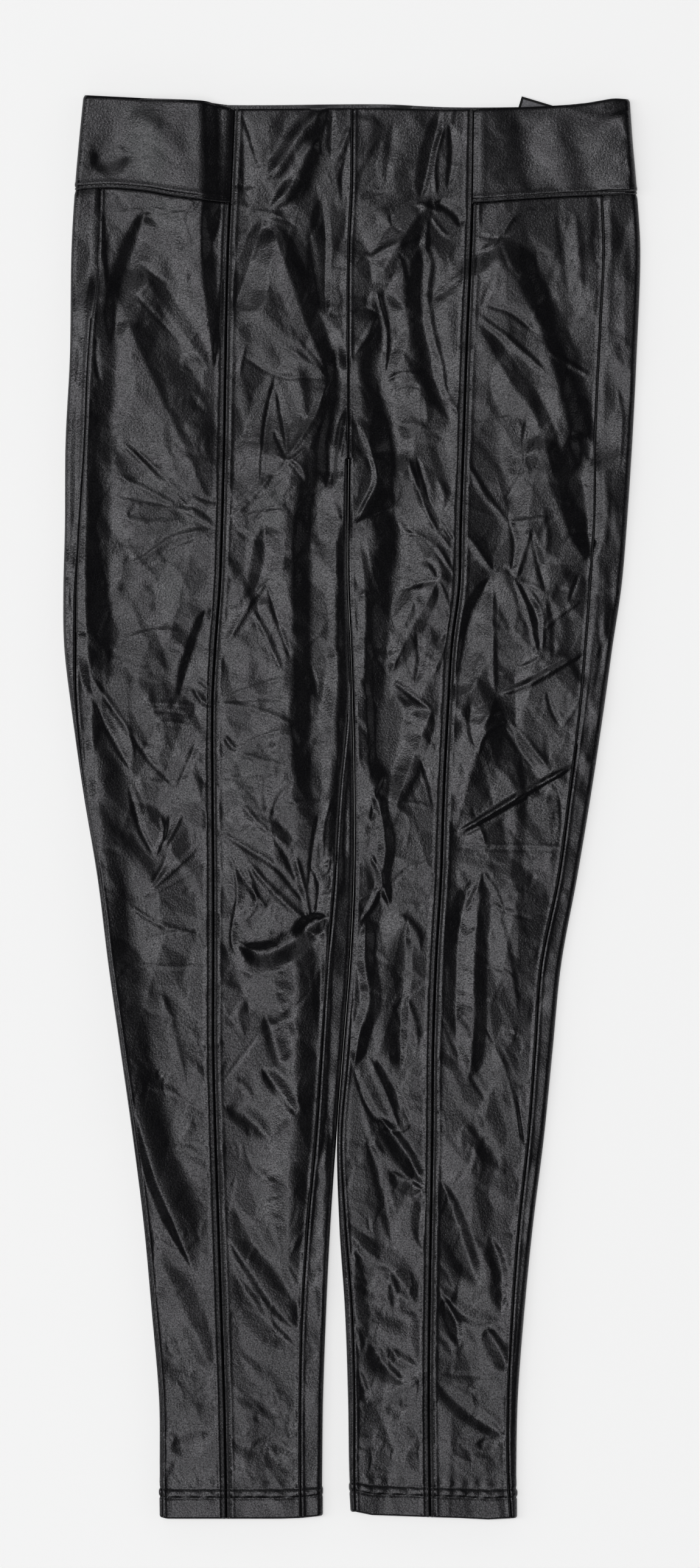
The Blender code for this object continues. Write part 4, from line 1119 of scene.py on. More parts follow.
@dataclass(frozen=True)
class SeamRelief:
    """The fine relief of seams, waistband edges and hems, added to the cloth's height."""

    pattern: Pattern
    cord_height: float = 0.9
    cord_place: float = 1.45
    cord_spread: float = 0.75
    stitch_place: float = 2.9
    stitch_dip: float = 0.35
    stitch_spread: float = 0.5
    groove: float = 0.9
    groove_spread: float = 0.35
    puff: float = 0.25
    puff_place: float = 4.6
    puff_spread: float = 1.3
    inseam_growth: float = 100.0

    def princess(self, x: Array, down: Array) -> Array:
        """Two raised cords with a dark groove between them and a stitched furrow outside each.

        Args:
            x: places across.
            down: places down.

        Returns:
            The relief.
        """
        total = np.zeros(x.shape)
        for leg in Leg:
            apart = np.abs(x - self.pattern.princess(leg, down))
            total += self.cord_height * bump(apart - self.cord_place, self.cord_spread)
            total -= self.stitch_dip * bump(apart - self.stitch_place, self.stitch_spread)
            total -= self.groove * bump(apart, self.groove_spread)
            total += self.puff * bump(apart - self.puff_place, self.puff_spread)
        return total

    def plain(self, apart: Array) -> Array:
        """A plain seam, slightly puffed beside its groove."""
        return 0.3 * bump(apart - 1.5, 1.2) - 0.8 * bump(apart, 0.4)

    def inseam_shown(self, leg: Leg, down: Array) -> Array:
        """How much an inseam stands out: it is stretched smooth on the thighs."""
        start, least = INSEAM_SHOWS[leg]
        return np.where(down > CROTCH, least + (1.0 - least) * ease((down - start) / self.inseam_growth), 0.0)

    def front(self, x: Array, down: Array) -> Array:
        """The relief of the front's seams.

        Args:
            x: places across.
            down: places down.

        Returns:
            The relief.
        """
        total = self.princess(x, down)
        middle = np.abs(x - self.pattern.seam("middle", down))
        total += np.where(down < CROTCH, self.plain(middle), 0.0)
        band = smooth(BAND_EDGE, x)
        for leg in Leg:
            side, inseam = (np.abs(x - line(leg, down)) for line in (self.pattern.side, self.pattern.inseam))
            shown = self.inseam_shown(leg, down)
            total += np.where(down > band, self.plain(side), 0.0) + shown * self.plain(inseam)
        return total

    def hem(self, x: Array, up: Array) -> Array:
        """The turned-up hem: a doubled wall, pinched by two rows of stitches, rounded at the bottom.

        Args:
            x: places across.
            up: distance from the hem's lower edge.

        Returns:
            The relief.
        """
        pucker = 0.5 + 0.5 * np.sin(x * 2 * np.pi / 10.3 + 1.7 * np.sin(x / 13.0))
        step = 0.5 * ease((HEM_DEPTH + 0.9 - up) / 1.2)
        rows = sum(bump(up - row, 0.8) for row in HEM_ROWS)
        ridge = 0.30 * bump(up - sum(HEM_ROWS) / 2, 2.2) * (0.5 + 0.8 * pucker)
        above = 0.22 * pucker * bump(up - HEM_DEPTH - 4.0, 3.5)
        fall = 1.3 * (1.0 - rounded(up / 1.6))
        return step - (0.35 + 0.2 * pucker) * rows + ridge + above - fall


# ---------------------------------------------------------------- making things in Blender
def new_object(name: str, data: bpy.types.ID) -> bpy.types.Object:
    """Puts an object of the given data into the scene.

    Args:
        name: the name.
        data: a mesh, a lamp or a camera.

    Returns:
        The object.
    """
    made = bpy.data.objects.new(name, data)
    bpy.context.scene.collection.objects.link(made)
    return made


def new_node(tree: bpy.types.NodeTree, kind: str, values: dict[str, object] | None = None,
             **settings: str) -> bpy.types.Node:
    """Adds a node to a tree.

    Args:
        tree: the node tree.
        kind: the node's type.
        values: what its inputs are set to.
        settings: the node's own settings, made first.

    Returns:
        The node.
    """
    node = tree.nodes.new(kind)
    for name, value in settings.items():
        setattr(node, name, value)
    for name, value in (values or {}).items():
        node.inputs[name].default_value = value
    return node


def join(tree: bpy.types.NodeTree, *links: tuple[bpy.types.Node, str, bpy.types.Node, str]) -> None:
    """Joins nodes of a tree.

    Args:
        tree: the node tree.
        links: each a node, its output, a second node and its input.
    """
    for source, output, target, entry in links:
        tree.links.new(source.outputs[output], target.inputs[entry])


# ---------------------------------------------------------------- walls of cloth
def quads(index: Array, turned: bool) -> list[list[int]]:
    """Faces between neighbouring points of a grid of point numbers.

    Args:
        index: numbers of the points, in rows and columns.
        turned: true to face the other way.

    Returns:
        Four point numbers for each face.
    """
    corners = [index[:-1, :-1], index[:-1, 1:], index[1:, 1:], index[1:, :-1]]
    if turned:
        corners = [corners[k] for k in (0, 3, 2, 1)]
    return np.stack(corners, axis=-1).reshape(-1, 4).tolist()


@dataclass
class Wall:
    """A closed wall of cloth between two grids of points, in mm (across, down, up).

    The hidden inner side is built from every few points only; its rims still meet every outer point.
    """

    name: str
    outer: Array
    inner: Array
    coarseness: int = 5

    def picks(self, count: int) -> Array:
        """Which rows or columns the inner side keeps, always with the first and the last."""
        return np.unique(np.concatenate([np.arange(0, count - 1, self.coarseness), [count - 1]]))

    def faces(self, rows: Array, columns: Array) -> list[list[int]]:
        """Quads of both sides, and of the four rims polygons that join coarse to fine.

        Args:
            rows: rows of the outer side that the inner side keeps.
            columns: columns that it keeps.

        Returns:
            Each face's point numbers.
        """
        index = np.arange(self.outer[..., 0].size).reshape(self.outer.shape[:2])
        under = index.size + np.arange(len(rows) * len(columns)).reshape(len(rows), len(columns))
        faces = quads(index, False) + quads(under, True)
        rims = ((index[0], under[0], columns, True), (index[-1], under[-1], columns, False),
                (index[:, 0], under[:, 0], rows, False), (index[:, -1], under[:, -1], rows, True))
        for fine, coarse, kept, forward in rims:
            for k in range(len(kept) - 1):
                run = fine[kept[k]:kept[k + 1] + 1].tolist()
                face = run[::-1] + [int(coarse[k]), int(coarse[k + 1])]
                faces.append(face if forward else face[::-1])
        return faces

    def build(self, material: bpy.types.Material) -> bpy.types.Object:
        """Makes the mesh object, smooth shaded, with its faces outward.

        Args:
            material: the finish.

        Returns:
            The object.
        """
        rows, columns = (self.picks(count) for count in self.outer.shape[:2])
        kept = self.inner[np.ix_(rows, columns)]
        points = np.concatenate([self.outer.reshape(-1, 3), kept.reshape(-1, 3)])
        points = np.stack([points[:, 0], TOP - points[:, 1], points[:, 2]], axis=1) * MM
        faces = self.faces(rows, columns)
        turns_right = np.diff(self.outer[0, :, 0]).sum() > 0
        above = self.outer[len(rows) // 2, 0, 2] > self.inner[len(rows) // 2, 0, 2]
        if turns_right == above:
            faces = [face[::-1] for face in faces]
        mesh = bpy.data.meshes.new(self.name)
        mesh.from_pydata(points.tolist(), [], faces)
        mesh.materials.append(material)
        mesh.polygons.foreach_set("use_smooth", np.ones(len(faces), bool))
        mesh.set_sharp_from_angle(angle=SHARP)
        lining = mesh.attributes.new("lining", "FLOAT", "POINT")
        inside = (np.arange(len(points)) >= self.outer[..., 0].size) & (points[:, 1] > LINED)
        lining.data.foreach_set("value", inside.astype(np.float32))
        mesh.update()
        made = new_object(self.name, mesh)
        LOG.info("%s: %d triangles", self.name, sum(len(face) - 2 for face in faces))
        return made


def section_normals(x: Array, z: Array) -> tuple[Array, Array]:
    """Unit normals, in the plane across the garment, of rows of points.

    Args:
        x: places across.
        z: heights.

    Returns:
        Their parts across and up.
    """
    run, climb = np.gradient(x, axis=1), np.gradient(z, axis=1)
    length = np.hypot(run, climb) + 1e-9
    return -climb / length, run / length


def resample(channels: Array, weights: Array, count: int) -> Array:
    """Spreads each row's points again, evenly by weighted length along the row.

    Args:
        channels: x, z and any further value, each as rows of points.
        weights: how densely each point's stretch is to be filled.
        count: points in a row afterwards.

    Returns:
        The channels again, with ``count`` points to a row.
    """
    x, z = channels[:2]
    lengths = np.hypot(np.diff(x, axis=1), np.diff(z, axis=1)) * (weights[:, 1:] + weights[:, :-1]) / 2
    along = np.concatenate([np.zeros((len(x), 1)), np.cumsum(lengths, axis=1)], axis=1)
    at = np.linspace(0.0, 1.0, count)
    return np.stack([np.stack([np.interp(at * a[-1], a, row) for a, row in zip(along, channel)])
                     for channel in channels])


def row_places(first: float, last: float, step: float, fine: Runs) -> Array:
    """Rows from first to last, closer together over the fine stretches.

    Args:
        first: the first row.
        last: the last row.
        step: distance between the other rows.
        fine: where the fine stretches start and end.

    Returns:
        The rows.
    """
    places = np.arange(first, last, step)
    for start, end in fine:
        places = places[(places < start) | (places > end)]
        places = np.concatenate([places, np.arange(start, end, FINE_STEP)])
    places = np.unique(np.round(np.concatenate([places, [first, last]]), 3))
    return places[(places >= first) & (places <= last)]


@dataclass
class Panel:
    """What every cut piece of cloth needs to know."""

    leg: Leg
    pattern: Pattern
    drape: Drape
    relief: SeamRelief
    material: bpy.types.Material
    thickness: float = 0.9

    def up_from_hem(self, x: Array, down: Array) -> Array:
        """Distance above the hem's lower edge."""
        return straight(HEM_EDGE, x) - down

    def below_band(self, station: Array) -> Array:
        """How far the cloth sinks towards the waistband's lower seam."""
        return 0.6 * bump(station - BAND, 0.8)

    def finish(self, made: bpy.types.Object, node: str, width: float, length: float,
               area: float) -> bpy.types.Object:
        """Args:
            made: the piece.
            node: its solid.
            width: of the flat sheet, in m; not used.
            length: of the flat sheet, in m; not used.
            area: of the flat sheet, in square metres; not used.

        Returns:
            The piece.
        """
        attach(made, "root")
        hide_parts(node)
        return made


@dataclass
class FrontPanel(Panel):
    """An inner or an outer front panel, from the princess seam across."""

    inner_side: bool = True
    columns: int = 94
    row_step: float = 1.12
    seam_room: float = 0.35

    def across(self, station: Array) -> Array:
        """Places across of every point: close together beside the corded seam, then even.

        Args:
            station: the rows.

        Returns:
            A row of places for each of the rows.
        """
        pattern = self.pattern
        start = pattern.across(pattern.princess, self.leg, station, Face.FRONT)
        sense = self.leg.value if self.inner_side else -self.leg.value
        if self.inner_side:
            middle = pattern.across(pattern.inner, self.leg, station, Face.FRONT)
            inseam = pattern.across(pattern.inseam, self.leg, station, Face.FRONT)
            end = np.where(station < CROTCH, middle + sense * 0.15, inseam)
        else:
            end = pattern.across(pattern.side, self.leg, station, Face.FRONT)
        end = end - sense * pattern.seam_gap / 2
        near = np.concatenate([np.arange(0.0, 3.6, 0.4), [3.6, 4.4, 5.4]])
        rest = np.linspace(0.0, 1.0, self.columns - len(near) + 1)[1:]
        begin = start + sense * pattern.seam_gap / 2
        fine = begin[:, None] + sense * near[None, :]
        far = fine[:, -1:] + (end[:, None] - fine[:, -1:]) * rest[None, :]
        return np.concatenate([fine, far], axis=1)

    def build(self) -> bpy.types.Object:
        """Makes the panel.

        Returns:
            The panel.
        """
        first = 0.0 if self.inner_side else BAND + 0.1
        station = row_places(first, LENGTH, self.row_step, ((first, first + 4.0), HEM_FINE))
        x = self.across(station)
        down = self.pattern.down_at(x, station[:, None], Face.FRONT)
        base = self.drape.top(x, down, self.leg)
        normal_x, normal_z = section_normals(x, base)
        if x[0, 0] > x[0, -1]:
            normal_x, normal_z = -normal_x, -normal_z
        top_edge = 0.5 * bump(station[:, None], 0.8) if self.inner_side else self.below_band(station[:, None])
        height = base + self.relief.front(x, down) + self.relief.hem(x, self.up_from_hem(x, down)) - top_edge
        outer = np.stack([x, down, height], axis=-1)
        within = base - normal_z * self.thickness - self.seam_room
        inner = np.stack([x - normal_x * self.thickness, down, within], axis=-1)
        name = ("front_inner_" if self.inner_side else "front_outer_") + self.leg.word
        made = Wall(name + "_cloth", outer, inner).build(self.material)
        return self.finish(made, name, *(INNER_SHEET if self.inner_side else OUTER_SHEET))


@dataclass
class WrappedPanel(Panel):
    """A piece that comes round a folded edge, so that part of it lies on top and part underneath."""

    columns: int = 110
    row_step: float = 2.6
    rise: float = 0.0
    dense: int = 40
    bend: float = 14.0
    flat_weight: float = 0.35
    closed: float = 0.14

    def section(self, station: Array, start: Array, inseam: Array | None) -> tuple[Array, Array]:
        """Cross-sections from a start on top, round the outer fold and across the underside.

        Args:
            station: the rows.
            start: where each row begins on the top face.
            inseam: where each row ends on top, round the inner fold; none where it ends at the middle.

        Returns:
            Channels (across, up, 1 on top and 0 underneath), and weights for spreading points.
        """
        sense, pattern = self.leg.value, self.pattern
        outer = pattern.across(pattern.outer, self.leg, station, Face.BACK)
        inner = pattern.across(pattern.inner, self.leg, station, Face.BACK)
        inner = inner + np.where(station < CROTCH, sense * self.closed, 0.0)
        turning = np.sin(np.linspace(0.0, np.pi / 2, self.dense))
        leaving = 1.0 - turning[::-1]
        even = np.linspace(0.0, 1.0, self.dense)
        near = np.where(np.abs(outer - start) > self.bend, outer + sense * self.bend, start)
        stretches = [(start, near, even, 1.0, self.flat_weight), (near, outer, turning, 1.0, 1.0),
                     (outer, outer + sense * self.bend, leaving, 0.0, 1.0),
                     (outer + sense * self.bend, inner - sense * self.bend, even, 0.0, self.flat_weight),
                     (inner - sense * self.bend, inner, turning, 0.0, 1.0)]
        if inseam is not None:
            stretches.append((inner, inseam, leaving, 1.0, 1.0))
        parts = []
        for begin, end, shares, upper, weight in stretches:
            x = begin[:, None] + (end - begin)[:, None] * shares[None, :]
            height = self.heights(x, station[:, None], upper > 0.5)
            if inseam is not None and end is inseam:
                under = self.heights(x, station[:, None], False)
                height = np.where(station[:, None] < CROTCH, under, height)
            parts.append(np.stack([x, height, np.full(x.shape, upper), np.full(x.shape, weight)]))
        whole = np.concatenate(parts, axis=2)
        return whole[:3], whole[3]

    def heights(self, x: Array, station: Array, upper: bool) -> Array:
        """Heights of the top or the bottom face.

        Args:
            x: places across.
            station: the rows.
            upper: true on top, false underneath.

        Returns:
            The heights.
        """
        face = Face.FRONT if upper else Face.BACK
        down = self.pattern.down_at(x, station, face)
        read = self.drape.top if upper else self.drape.bottom
        return read(x, down, self.leg, self.rise)

    def wrap(self, name: str, station: Array, channels: Array, weights: Array) -> bpy.types.Object:
        """Makes the wall from its cross-sections, with the relief of seams and hems.

        Args:
            name: the solid's name.
            station: the rows.
            channels: the sections' points, from ``section``.
            weights: their weights.

        Returns:
            The piece.
        """
        x, z, upper = resample(channels, weights, self.columns)
        upper = upper > 0.5
        rows = station[:, None]
        down_front, down_back = (self.pattern.down_at(x, rows, face) for face in Face)
        down = np.where(upper, down_front, down_back)
        normal_x, normal_z = section_normals(x, z)
        side = -self.leg.value
        normal_x, normal_z = normal_x * side, normal_z * side
        relief = self.edges(x, down, rows, upper)
        relief += np.where(upper, self.relief.front(x, down) * np.clip(normal_z, 0.0, 1.0), 0.0)
        inset = self.thickness + np.where(upper, 0.3 * np.clip(normal_z, 0.0, 1.0), 0.0)
        outer = np.stack([x + normal_x * relief, down, np.maximum(z + normal_z * relief, 0.0)], axis=-1)
        inner = np.stack([x - normal_x * inset, down, z - normal_z * inset], axis=-1)
        return Wall(name + "_cloth", outer, inner).build(self.material)

    def edges(self, x: Array, down: Array, station: Array, upper: Array) -> Array:
        """Relief beside the piece's own upper and lower edges."""
        raise NotImplementedError


@dataclass
class BackPanel(WrappedPanel):
    """The underside, brought round the outer fold to the side seam and round the inner one to the inseam."""

    def build(self) -> bpy.types.Object:
        """Makes the panel.

        Returns:
            The panel.
        """
        pattern, sense = self.pattern, self.leg.value
        fine = ((CROTCH - 1.5, CROTCH + 1.5), HEM_FINE)
        station = row_places(BAND + 0.1, LENGTH, self.row_step, fine)
        gap = sense * pattern.seam_gap / 2
        side = pattern.across(pattern.side, self.leg, station, Face.FRONT) - gap
        inseam = pattern.across(pattern.inseam, self.leg, station, Face.FRONT) + gap
        inner = pattern.across(pattern.inner, self.leg, station, Face.BACK)
        inseam = np.where(station < CROTCH, inner + sense * (self.closed - 0.01), inseam)
        name = "back_" + self.leg.word
        made = self.wrap(name, station, *self.section(station, side, inseam))
        return self.finish(made, name, *BACK_SHEET)

    def edges(self, x: Array, down: Array, station: Array, upper: Array) -> Array:
        """The waistband's seam and the hem."""
        return self.relief.hem(x, self.up_from_hem(x, down)) - self.below_band(station)


@dataclass
class Waistband(WrappedPanel):
    """From the princess seam round the side fold to the middle of the back, proud of the panels below."""

    columns: int = 150
    row_step: float = 1.6
    rise: float = 1.2
    stitch_up: float = 2.3

    def build(self) -> bpy.types.Object:
        """Makes the waistband.

        Returns:
            The waistband.
        """
        pattern, sense = self.pattern, self.leg.value
        station = row_places(0.0, BAND - 0.06, self.row_step, ((0.0, 2.8), (BAND - 5.0, BAND - 0.06)))
        start = pattern.across(pattern.princess, self.leg, station, Face.FRONT) - sense * pattern.seam_gap / 2
        name = "waistband_" + self.leg.word
        made = self.wrap(name, station, *self.section(station, start, None))
        return self.finish(made, name, *BAND_SHEET)

    def edges(self, x: Array, down: Array, station: Array, upper: Array) -> Array:
        """The rounded waist edge, and the stitched and rounded lower edge.

        Args:
            x: places across.
            down: places down.
            station: the rows.
            upper: true on top, false underneath.

        Returns:
            The relief.
        """
        up = (BAND - station) * np.ones(x.shape)
        waist = 0.9 * bump(station, 1.2)
        fall = 0.9 * (1.0 - rounded(up / 1.3))
        stitched = 0.45 * bump(up - self.stitch_up, 0.6)
        return 0.35 * bump(up - 4.4, 1.6) - waist - fall - stitched


@dataclass
class Label:
    """A plain folded tab between the layers of the waist, one corner of it showing past the edge."""

    material: bpy.types.Material
    low: float = 1.9
    high: float = 2.7
    border: float = 1.5
    step: float = 0.3
    weave: float = 0.15

    def ruled(self, length: float, between: int) -> Array:
        """Places along a side, close together at its two borders.

        Args:
            length: the side's length.
            between: how many places lie between the borders.

        Returns:
            The places.
        """
        margin = 2.5
        return np.unique(np.concatenate([
            [0, self.border, self.border + self.step], np.linspace(margin, length - margin, between),
            [length - self.border - self.step, length - self.border, length]]))

    def build(self) -> bpy.types.Object:
        """Makes the tab, with a raised woven border.

        Returns:
            The tab.
        """
        a, b, _, d = (np.array(corner) for corner in LABEL_CORNERS)
        size = (float(np.linalg.norm(b - a)), float(np.linalg.norm(d - a)))
        u, v = np.meshgrid(self.ruled(size[0], 14) / size[0], self.ruled(size[1], 9) / size[1])
        place = a + u[..., None] * (b - a) + v[..., None] * (d - a)
        edge = np.minimum.reduce([u * size[0], (1 - u) * size[0], v * size[1], (1 - v) * size[1]])
        bordered = edge <= self.border + 0.01
        raised = np.where(bordered, self.high, self.high - self.weave)
        outer = np.concatenate([place, raised[..., None]], axis=-1)
        inner = np.concatenate([place, np.full(raised.shape, self.low)[..., None]], axis=-1)
        made = Wall("label_tab", outer, inner).build(self.material)
        shade = made.data.attributes.new("border", "FLOAT", "POINT")
        marked = bordered.astype(np.float32).ravel()
        hidden = np.ones(len(made.data.vertices) - marked.size)
        shade.data.foreach_set("value", np.concatenate([marked, hidden]))
        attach(made, "root")
        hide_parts("label")
        return made


# ---------------------------------------------------------------- stitching
@dataclass
class Stitching:
    """Rows of stitches laid along lines by one Geometry Nodes tree."""

    material: bpy.types.Material
    pitch: float = 3.2
    length: float = 2.3
    thickness: float = 0.42

    def tree(self) -> bpy.types.NodeTree:
        """Builds the node tree: a line becomes a curve, then evenly spaced stitches along it.

        Returns:
            The tree.
        """
        tree = bpy.data.node_groups.new("stitches", "GeometryNodeTree")
        inputs = (("Line", "NodeSocketGeometry"), ("Pitch", "NodeSocketFloat"), ("Length", "NodeSocketFloat"),
                  ("Thickness", "NodeSocketFloat"), ("Thread", "NodeSocketMaterial"))
        for name, kind in inputs:
            tree.interface.new_socket(name, in_out="INPUT", socket_type=kind)
        tree.interface.new_socket("Stitches", in_out="OUTPUT", socket_type="NodeSocketGeometry")
        given, result = new_node(tree, "NodeGroupInput"), new_node(tree, "NodeGroupOutput")
        curve = new_node(tree, "GeometryNodeMeshToCurve")
        spaced = new_node(tree, "GeometryNodeResampleCurve", mode="LENGTH")
        tangent = new_node(tree, "GeometryNodeInputTangent")
        turn = new_node(tree, "FunctionNodeAlignEulerToVector", axis="X")
        stitch = new_node(tree, "GeometryNodeMeshUVSphere", {"Segments": 8, "Rings": 4, "Radius": 0.5})
        size = new_node(tree, "ShaderNodeCombineXYZ")
        placed = new_node(tree, "GeometryNodeInstanceOnPoints")
        realized = new_node(tree, "GeometryNodeRealizeInstances")
        painted = new_node(tree, "GeometryNodeSetMaterial")
        join(tree, (given, "Line", curve, "Mesh"), (curve, "Curve", spaced, "Curve"),
             (given, "Pitch", spaced, "Length"), (tangent, "Tangent", turn, "Vector"),
             (given, "Length", size, "X"), (given, "Thickness", size, "Y"), (given, "Thickness", size, "Z"),
             (spaced, "Curve", placed, "Points"), (stitch, "Mesh", placed, "Instance"),
             (turn, "Rotation", placed, "Rotation"), (size, "Vector", placed, "Scale"),
             (placed, "Instances", realized, "Geometry"), (realized, "Geometry", painted, "Geometry"),
             (given, "Thread", painted, "Material"), (painted, "Geometry", result, "Stitches"))
        return tree

    def build(self, name: str, rows: list[Array], node: str, tree: bpy.types.NodeTree) -> bpy.types.Object:
        """Makes one object of stitches.

        Args:
            name: the object's name.
            rows: lines of points, each (across, down, up) in mm.
            node: the cloth that the stitches are sewn into.
            tree: the node tree made by ``tree``.

        Returns:
            The object.
        """
        points, edges = [], []
        for row in rows:
            first = len(points)
            points += [(x * MM, (TOP - down) * MM, up * MM) for x, down, up in row]
            edges += [(k, k + 1) for k in range(first, len(points) - 1)]
        lines = bpy.data.meshes.new(name + "_lines")
        lines.from_pydata(points, edges, [])
        guide = new_object(name + "_guide", lines)
        modifier = guide.modifiers.new("stitches", "NODES")
        modifier.node_group = tree
        values = {"Pitch": self.pitch * MM, "Length": self.length * MM, "Thickness": self.thickness * MM,
                  "Thread": self.material}
        for item in tree.interface.items_tree:
            if item.in_out == "INPUT" and item.name in values:
                modifier[item.identifier] = values[item.name]
        bpy.context.view_layer.update()
        graph = bpy.context.evaluated_depsgraph_get()
        mesh = bpy.data.meshes.new_from_object(guide.evaluated_get(graph), depsgraph=graph)
        mesh.name = name
        bpy.data.objects.remove(guide)
        made = new_object(name, mesh)
        mesh.polygons.foreach_set("use_smooth", np.ones(len(mesh.polygons), bool))
        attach(made, "root")
        LOG.info("%s: %d faces, sewn on %s", name, len(mesh.polygons), node)
        return made


@dataclass
class StitchPlan:
    """Works out where each row of topstitching runs."""

    pattern: Pattern
    drape: Drape
    relief: SeamRelief
    sunk: float = 0.02
    band_dip: float = 0.36
    hem_proud: float = 0.22
    ends: float = 1.5
    spacing: float = 2.0
    from_princess: float = 3.2
    from_fold: float = 2.0
    from_hem_fold: float = 1.2
    band_points: int = 120
    hem_points: int = 90

    def along_seam(self, leg: Leg, offset: float) -> Array:
        """A row beside a princess seam, from waist to hem.

        Args:
            leg: the side of the garment.
            offset: how far to its right.

        Returns:
            Points (across, down, up).
        """
        station = np.arange(self.ends, LENGTH - self.ends, self.spacing)
        x = self.pattern.across(self.pattern.princess, leg, station, Face.FRONT) + offset
        down = self.pattern.down_at(x, station, Face.FRONT)
        on_band = (station < BAND) & (offset * leg.value < 0)
        height = self.drape.top(x, down, leg) + np.where(on_band, Waistband.rise, 0.0)
        relief = self.relief.hem(x, straight(HEM_EDGE, x) - down)
        return np.stack([x, down, height + self.relief.front(x, down) + relief - self.sunk], axis=1)

    def above_band_seam(self, leg: Leg, up: float) -> Array:
        """A row along the front lower edge of a waistband.

        Args:
            leg: the side of the garment.
            up: how far above the seam.

        Returns:
            Points (across, down, up).
        """
        station = np.full(self.band_points, BAND - up)
        princess, outer = (float(self.pattern.across(line, leg, station[:1], Face.FRONT)[0])
                           for line in (self.pattern.princess, self.pattern.outer))
        x = np.linspace(princess - leg.value * self.from_princess, outer + leg.value * self.from_fold,
                        self.band_points)
        down = self.pattern.down_at(x, station, Face.FRONT)
        height = self.drape.top(x, down, leg, Waistband.rise) - self.band_dip + self.relief.front(x, down)
        return np.stack([x, down, height], axis=1)

    def round_hem(self, leg: Leg, up: float) -> list[Array]:
        """A row round a trouser leg's hem: one run on top and one underneath.

        Args:
            leg: the side of the garment.
            up: how far above the hem's lower edge.

        Returns:
            The two runs of points (across, down, up).
        """
        lines = []
        for upper in (True, False):
            at = np.array([LENGTH - up])
            outer = float(self.pattern.outer(leg, at)[0]) + leg.value * self.from_hem_fold
            inner = float(self.pattern.inner(leg, at)[0]) - leg.value * self.from_hem_fold
            x = np.linspace(outer, inner, self.hem_points)
            down = straight(HEM_EDGE, x) - up
            hem = self.relief.hem(x, np.full(x.shape, up))
            if upper:
                height = self.drape.top(x, down, leg) + self.relief.front(x, down) + hem - self.sunk
            else:
                height = np.maximum(self.drape.bottom(x, down, leg) - hem, 0.0) + self.hem_proud
            lines.append(np.stack([x, down, height], axis=1))
        return lines


# ---------------------------------------------------------------- finishes
def new_material(name: str) -> tuple[bpy.types.Material, bpy.types.Node]:
    """An empty node material and its Principled shader.

    Args:
        name: the name.

    Returns:
        The material and the shader.
    """
    material = bpy.data.materials.new(name)
    material.use_nodes = True
    return material, material.node_tree.nodes["Principled BSDF"]


@dataclass(frozen=True)
class FauxLeather:
    """Black coated cloth: a dull sheen, a fine pebble grain and faint hairline creases."""

    name: str = "faux_leather"
    colour: tuple[float, float, float, float] = (0.0046, 0.0045, 0.0056, 1.0)
    sheen_tint: tuple[float, float, float, float] = (1.008, 1.0, 1.045, 1.0)
    smoothest: float = 0.19
    roughest: float = 0.28
    grain: float = 950.0
    grain_depth: float = 0.00006
    ripple: float = 520.0
    ripple_depth: float = 0.00009
    speckle: float = 1050.0
    shine: tuple[float, float] = (0.22, 0.78)
    clouds: float = 55.0
    spread: tuple[float, float] = (0.3, 0.7)
    lining: tuple[float, float, float, float] = (0.05, 0.05, 0.053, 1.0)

    def build(self) -> bpy.types.Material:
        """Builds the node material.

        Returns:
            The material.
        """
        material, shader = new_material(self.name)
        tree = material.node_tree
        place = new_node(tree, "ShaderNodeTexCoord")
        cloudy = new_node(tree, "ShaderNodeTexNoise", {"Scale": self.clouds, "Detail": 5.0})
        speckle = new_node(tree, "ShaderNodeTexNoise", {"Scale": self.speckle, "Detail": 2.0})
        ripple = new_node(tree, "ShaderNodeTexNoise", {"Scale": self.ripple, "Detail": 4.0})
        grain = new_node(tree, "ShaderNodeTexVoronoi", {"Scale": self.grain}, feature="SMOOTH_F1")
        dull, level = (new_node(tree, "ShaderNodeMapRange", {
            "From Min": self.spread[0], "From Max": self.spread[1], "To Min": low, "To Max": high,
        }) for low, high in ((self.smoothest, self.roughest), self.shine))
        coarse, fine = (new_node(tree, "ShaderNodeBump", {"Distance": depth, "Strength": 1.0})
                        for depth in (self.ripple_depth, self.grain_depth))
        sides = new_node(tree, "ShaderNodeAttribute", attribute_name="lining")
        backed = new_node(tree, "ShaderNodeMix", {"A": self.colour, "B": self.lining}, data_type="RGBA")
        join(tree, *((place, "Object", texture, "Vector") for texture in (cloudy, grain, ripple, speckle)))
        join(tree, (sides, "Fac", backed, "Factor"), (backed, "Result", shader, "Base Color"),
             (speckle, "Fac", level, "Value"), (level, "Result", shader, "Specular IOR Level"),
             (cloudy, "Fac", dull, "Value"), (dull, "Result", shader, "Roughness"),
             (ripple, "Fac", coarse, "Height"), (grain, "Distance", fine, "Height"),
             (coarse, "Normal", fine, "Normal"), (fine, "Normal", shader, "Normal"))
        shader.inputs["Specular Tint"].default_value = self.sheen_tint
        return material


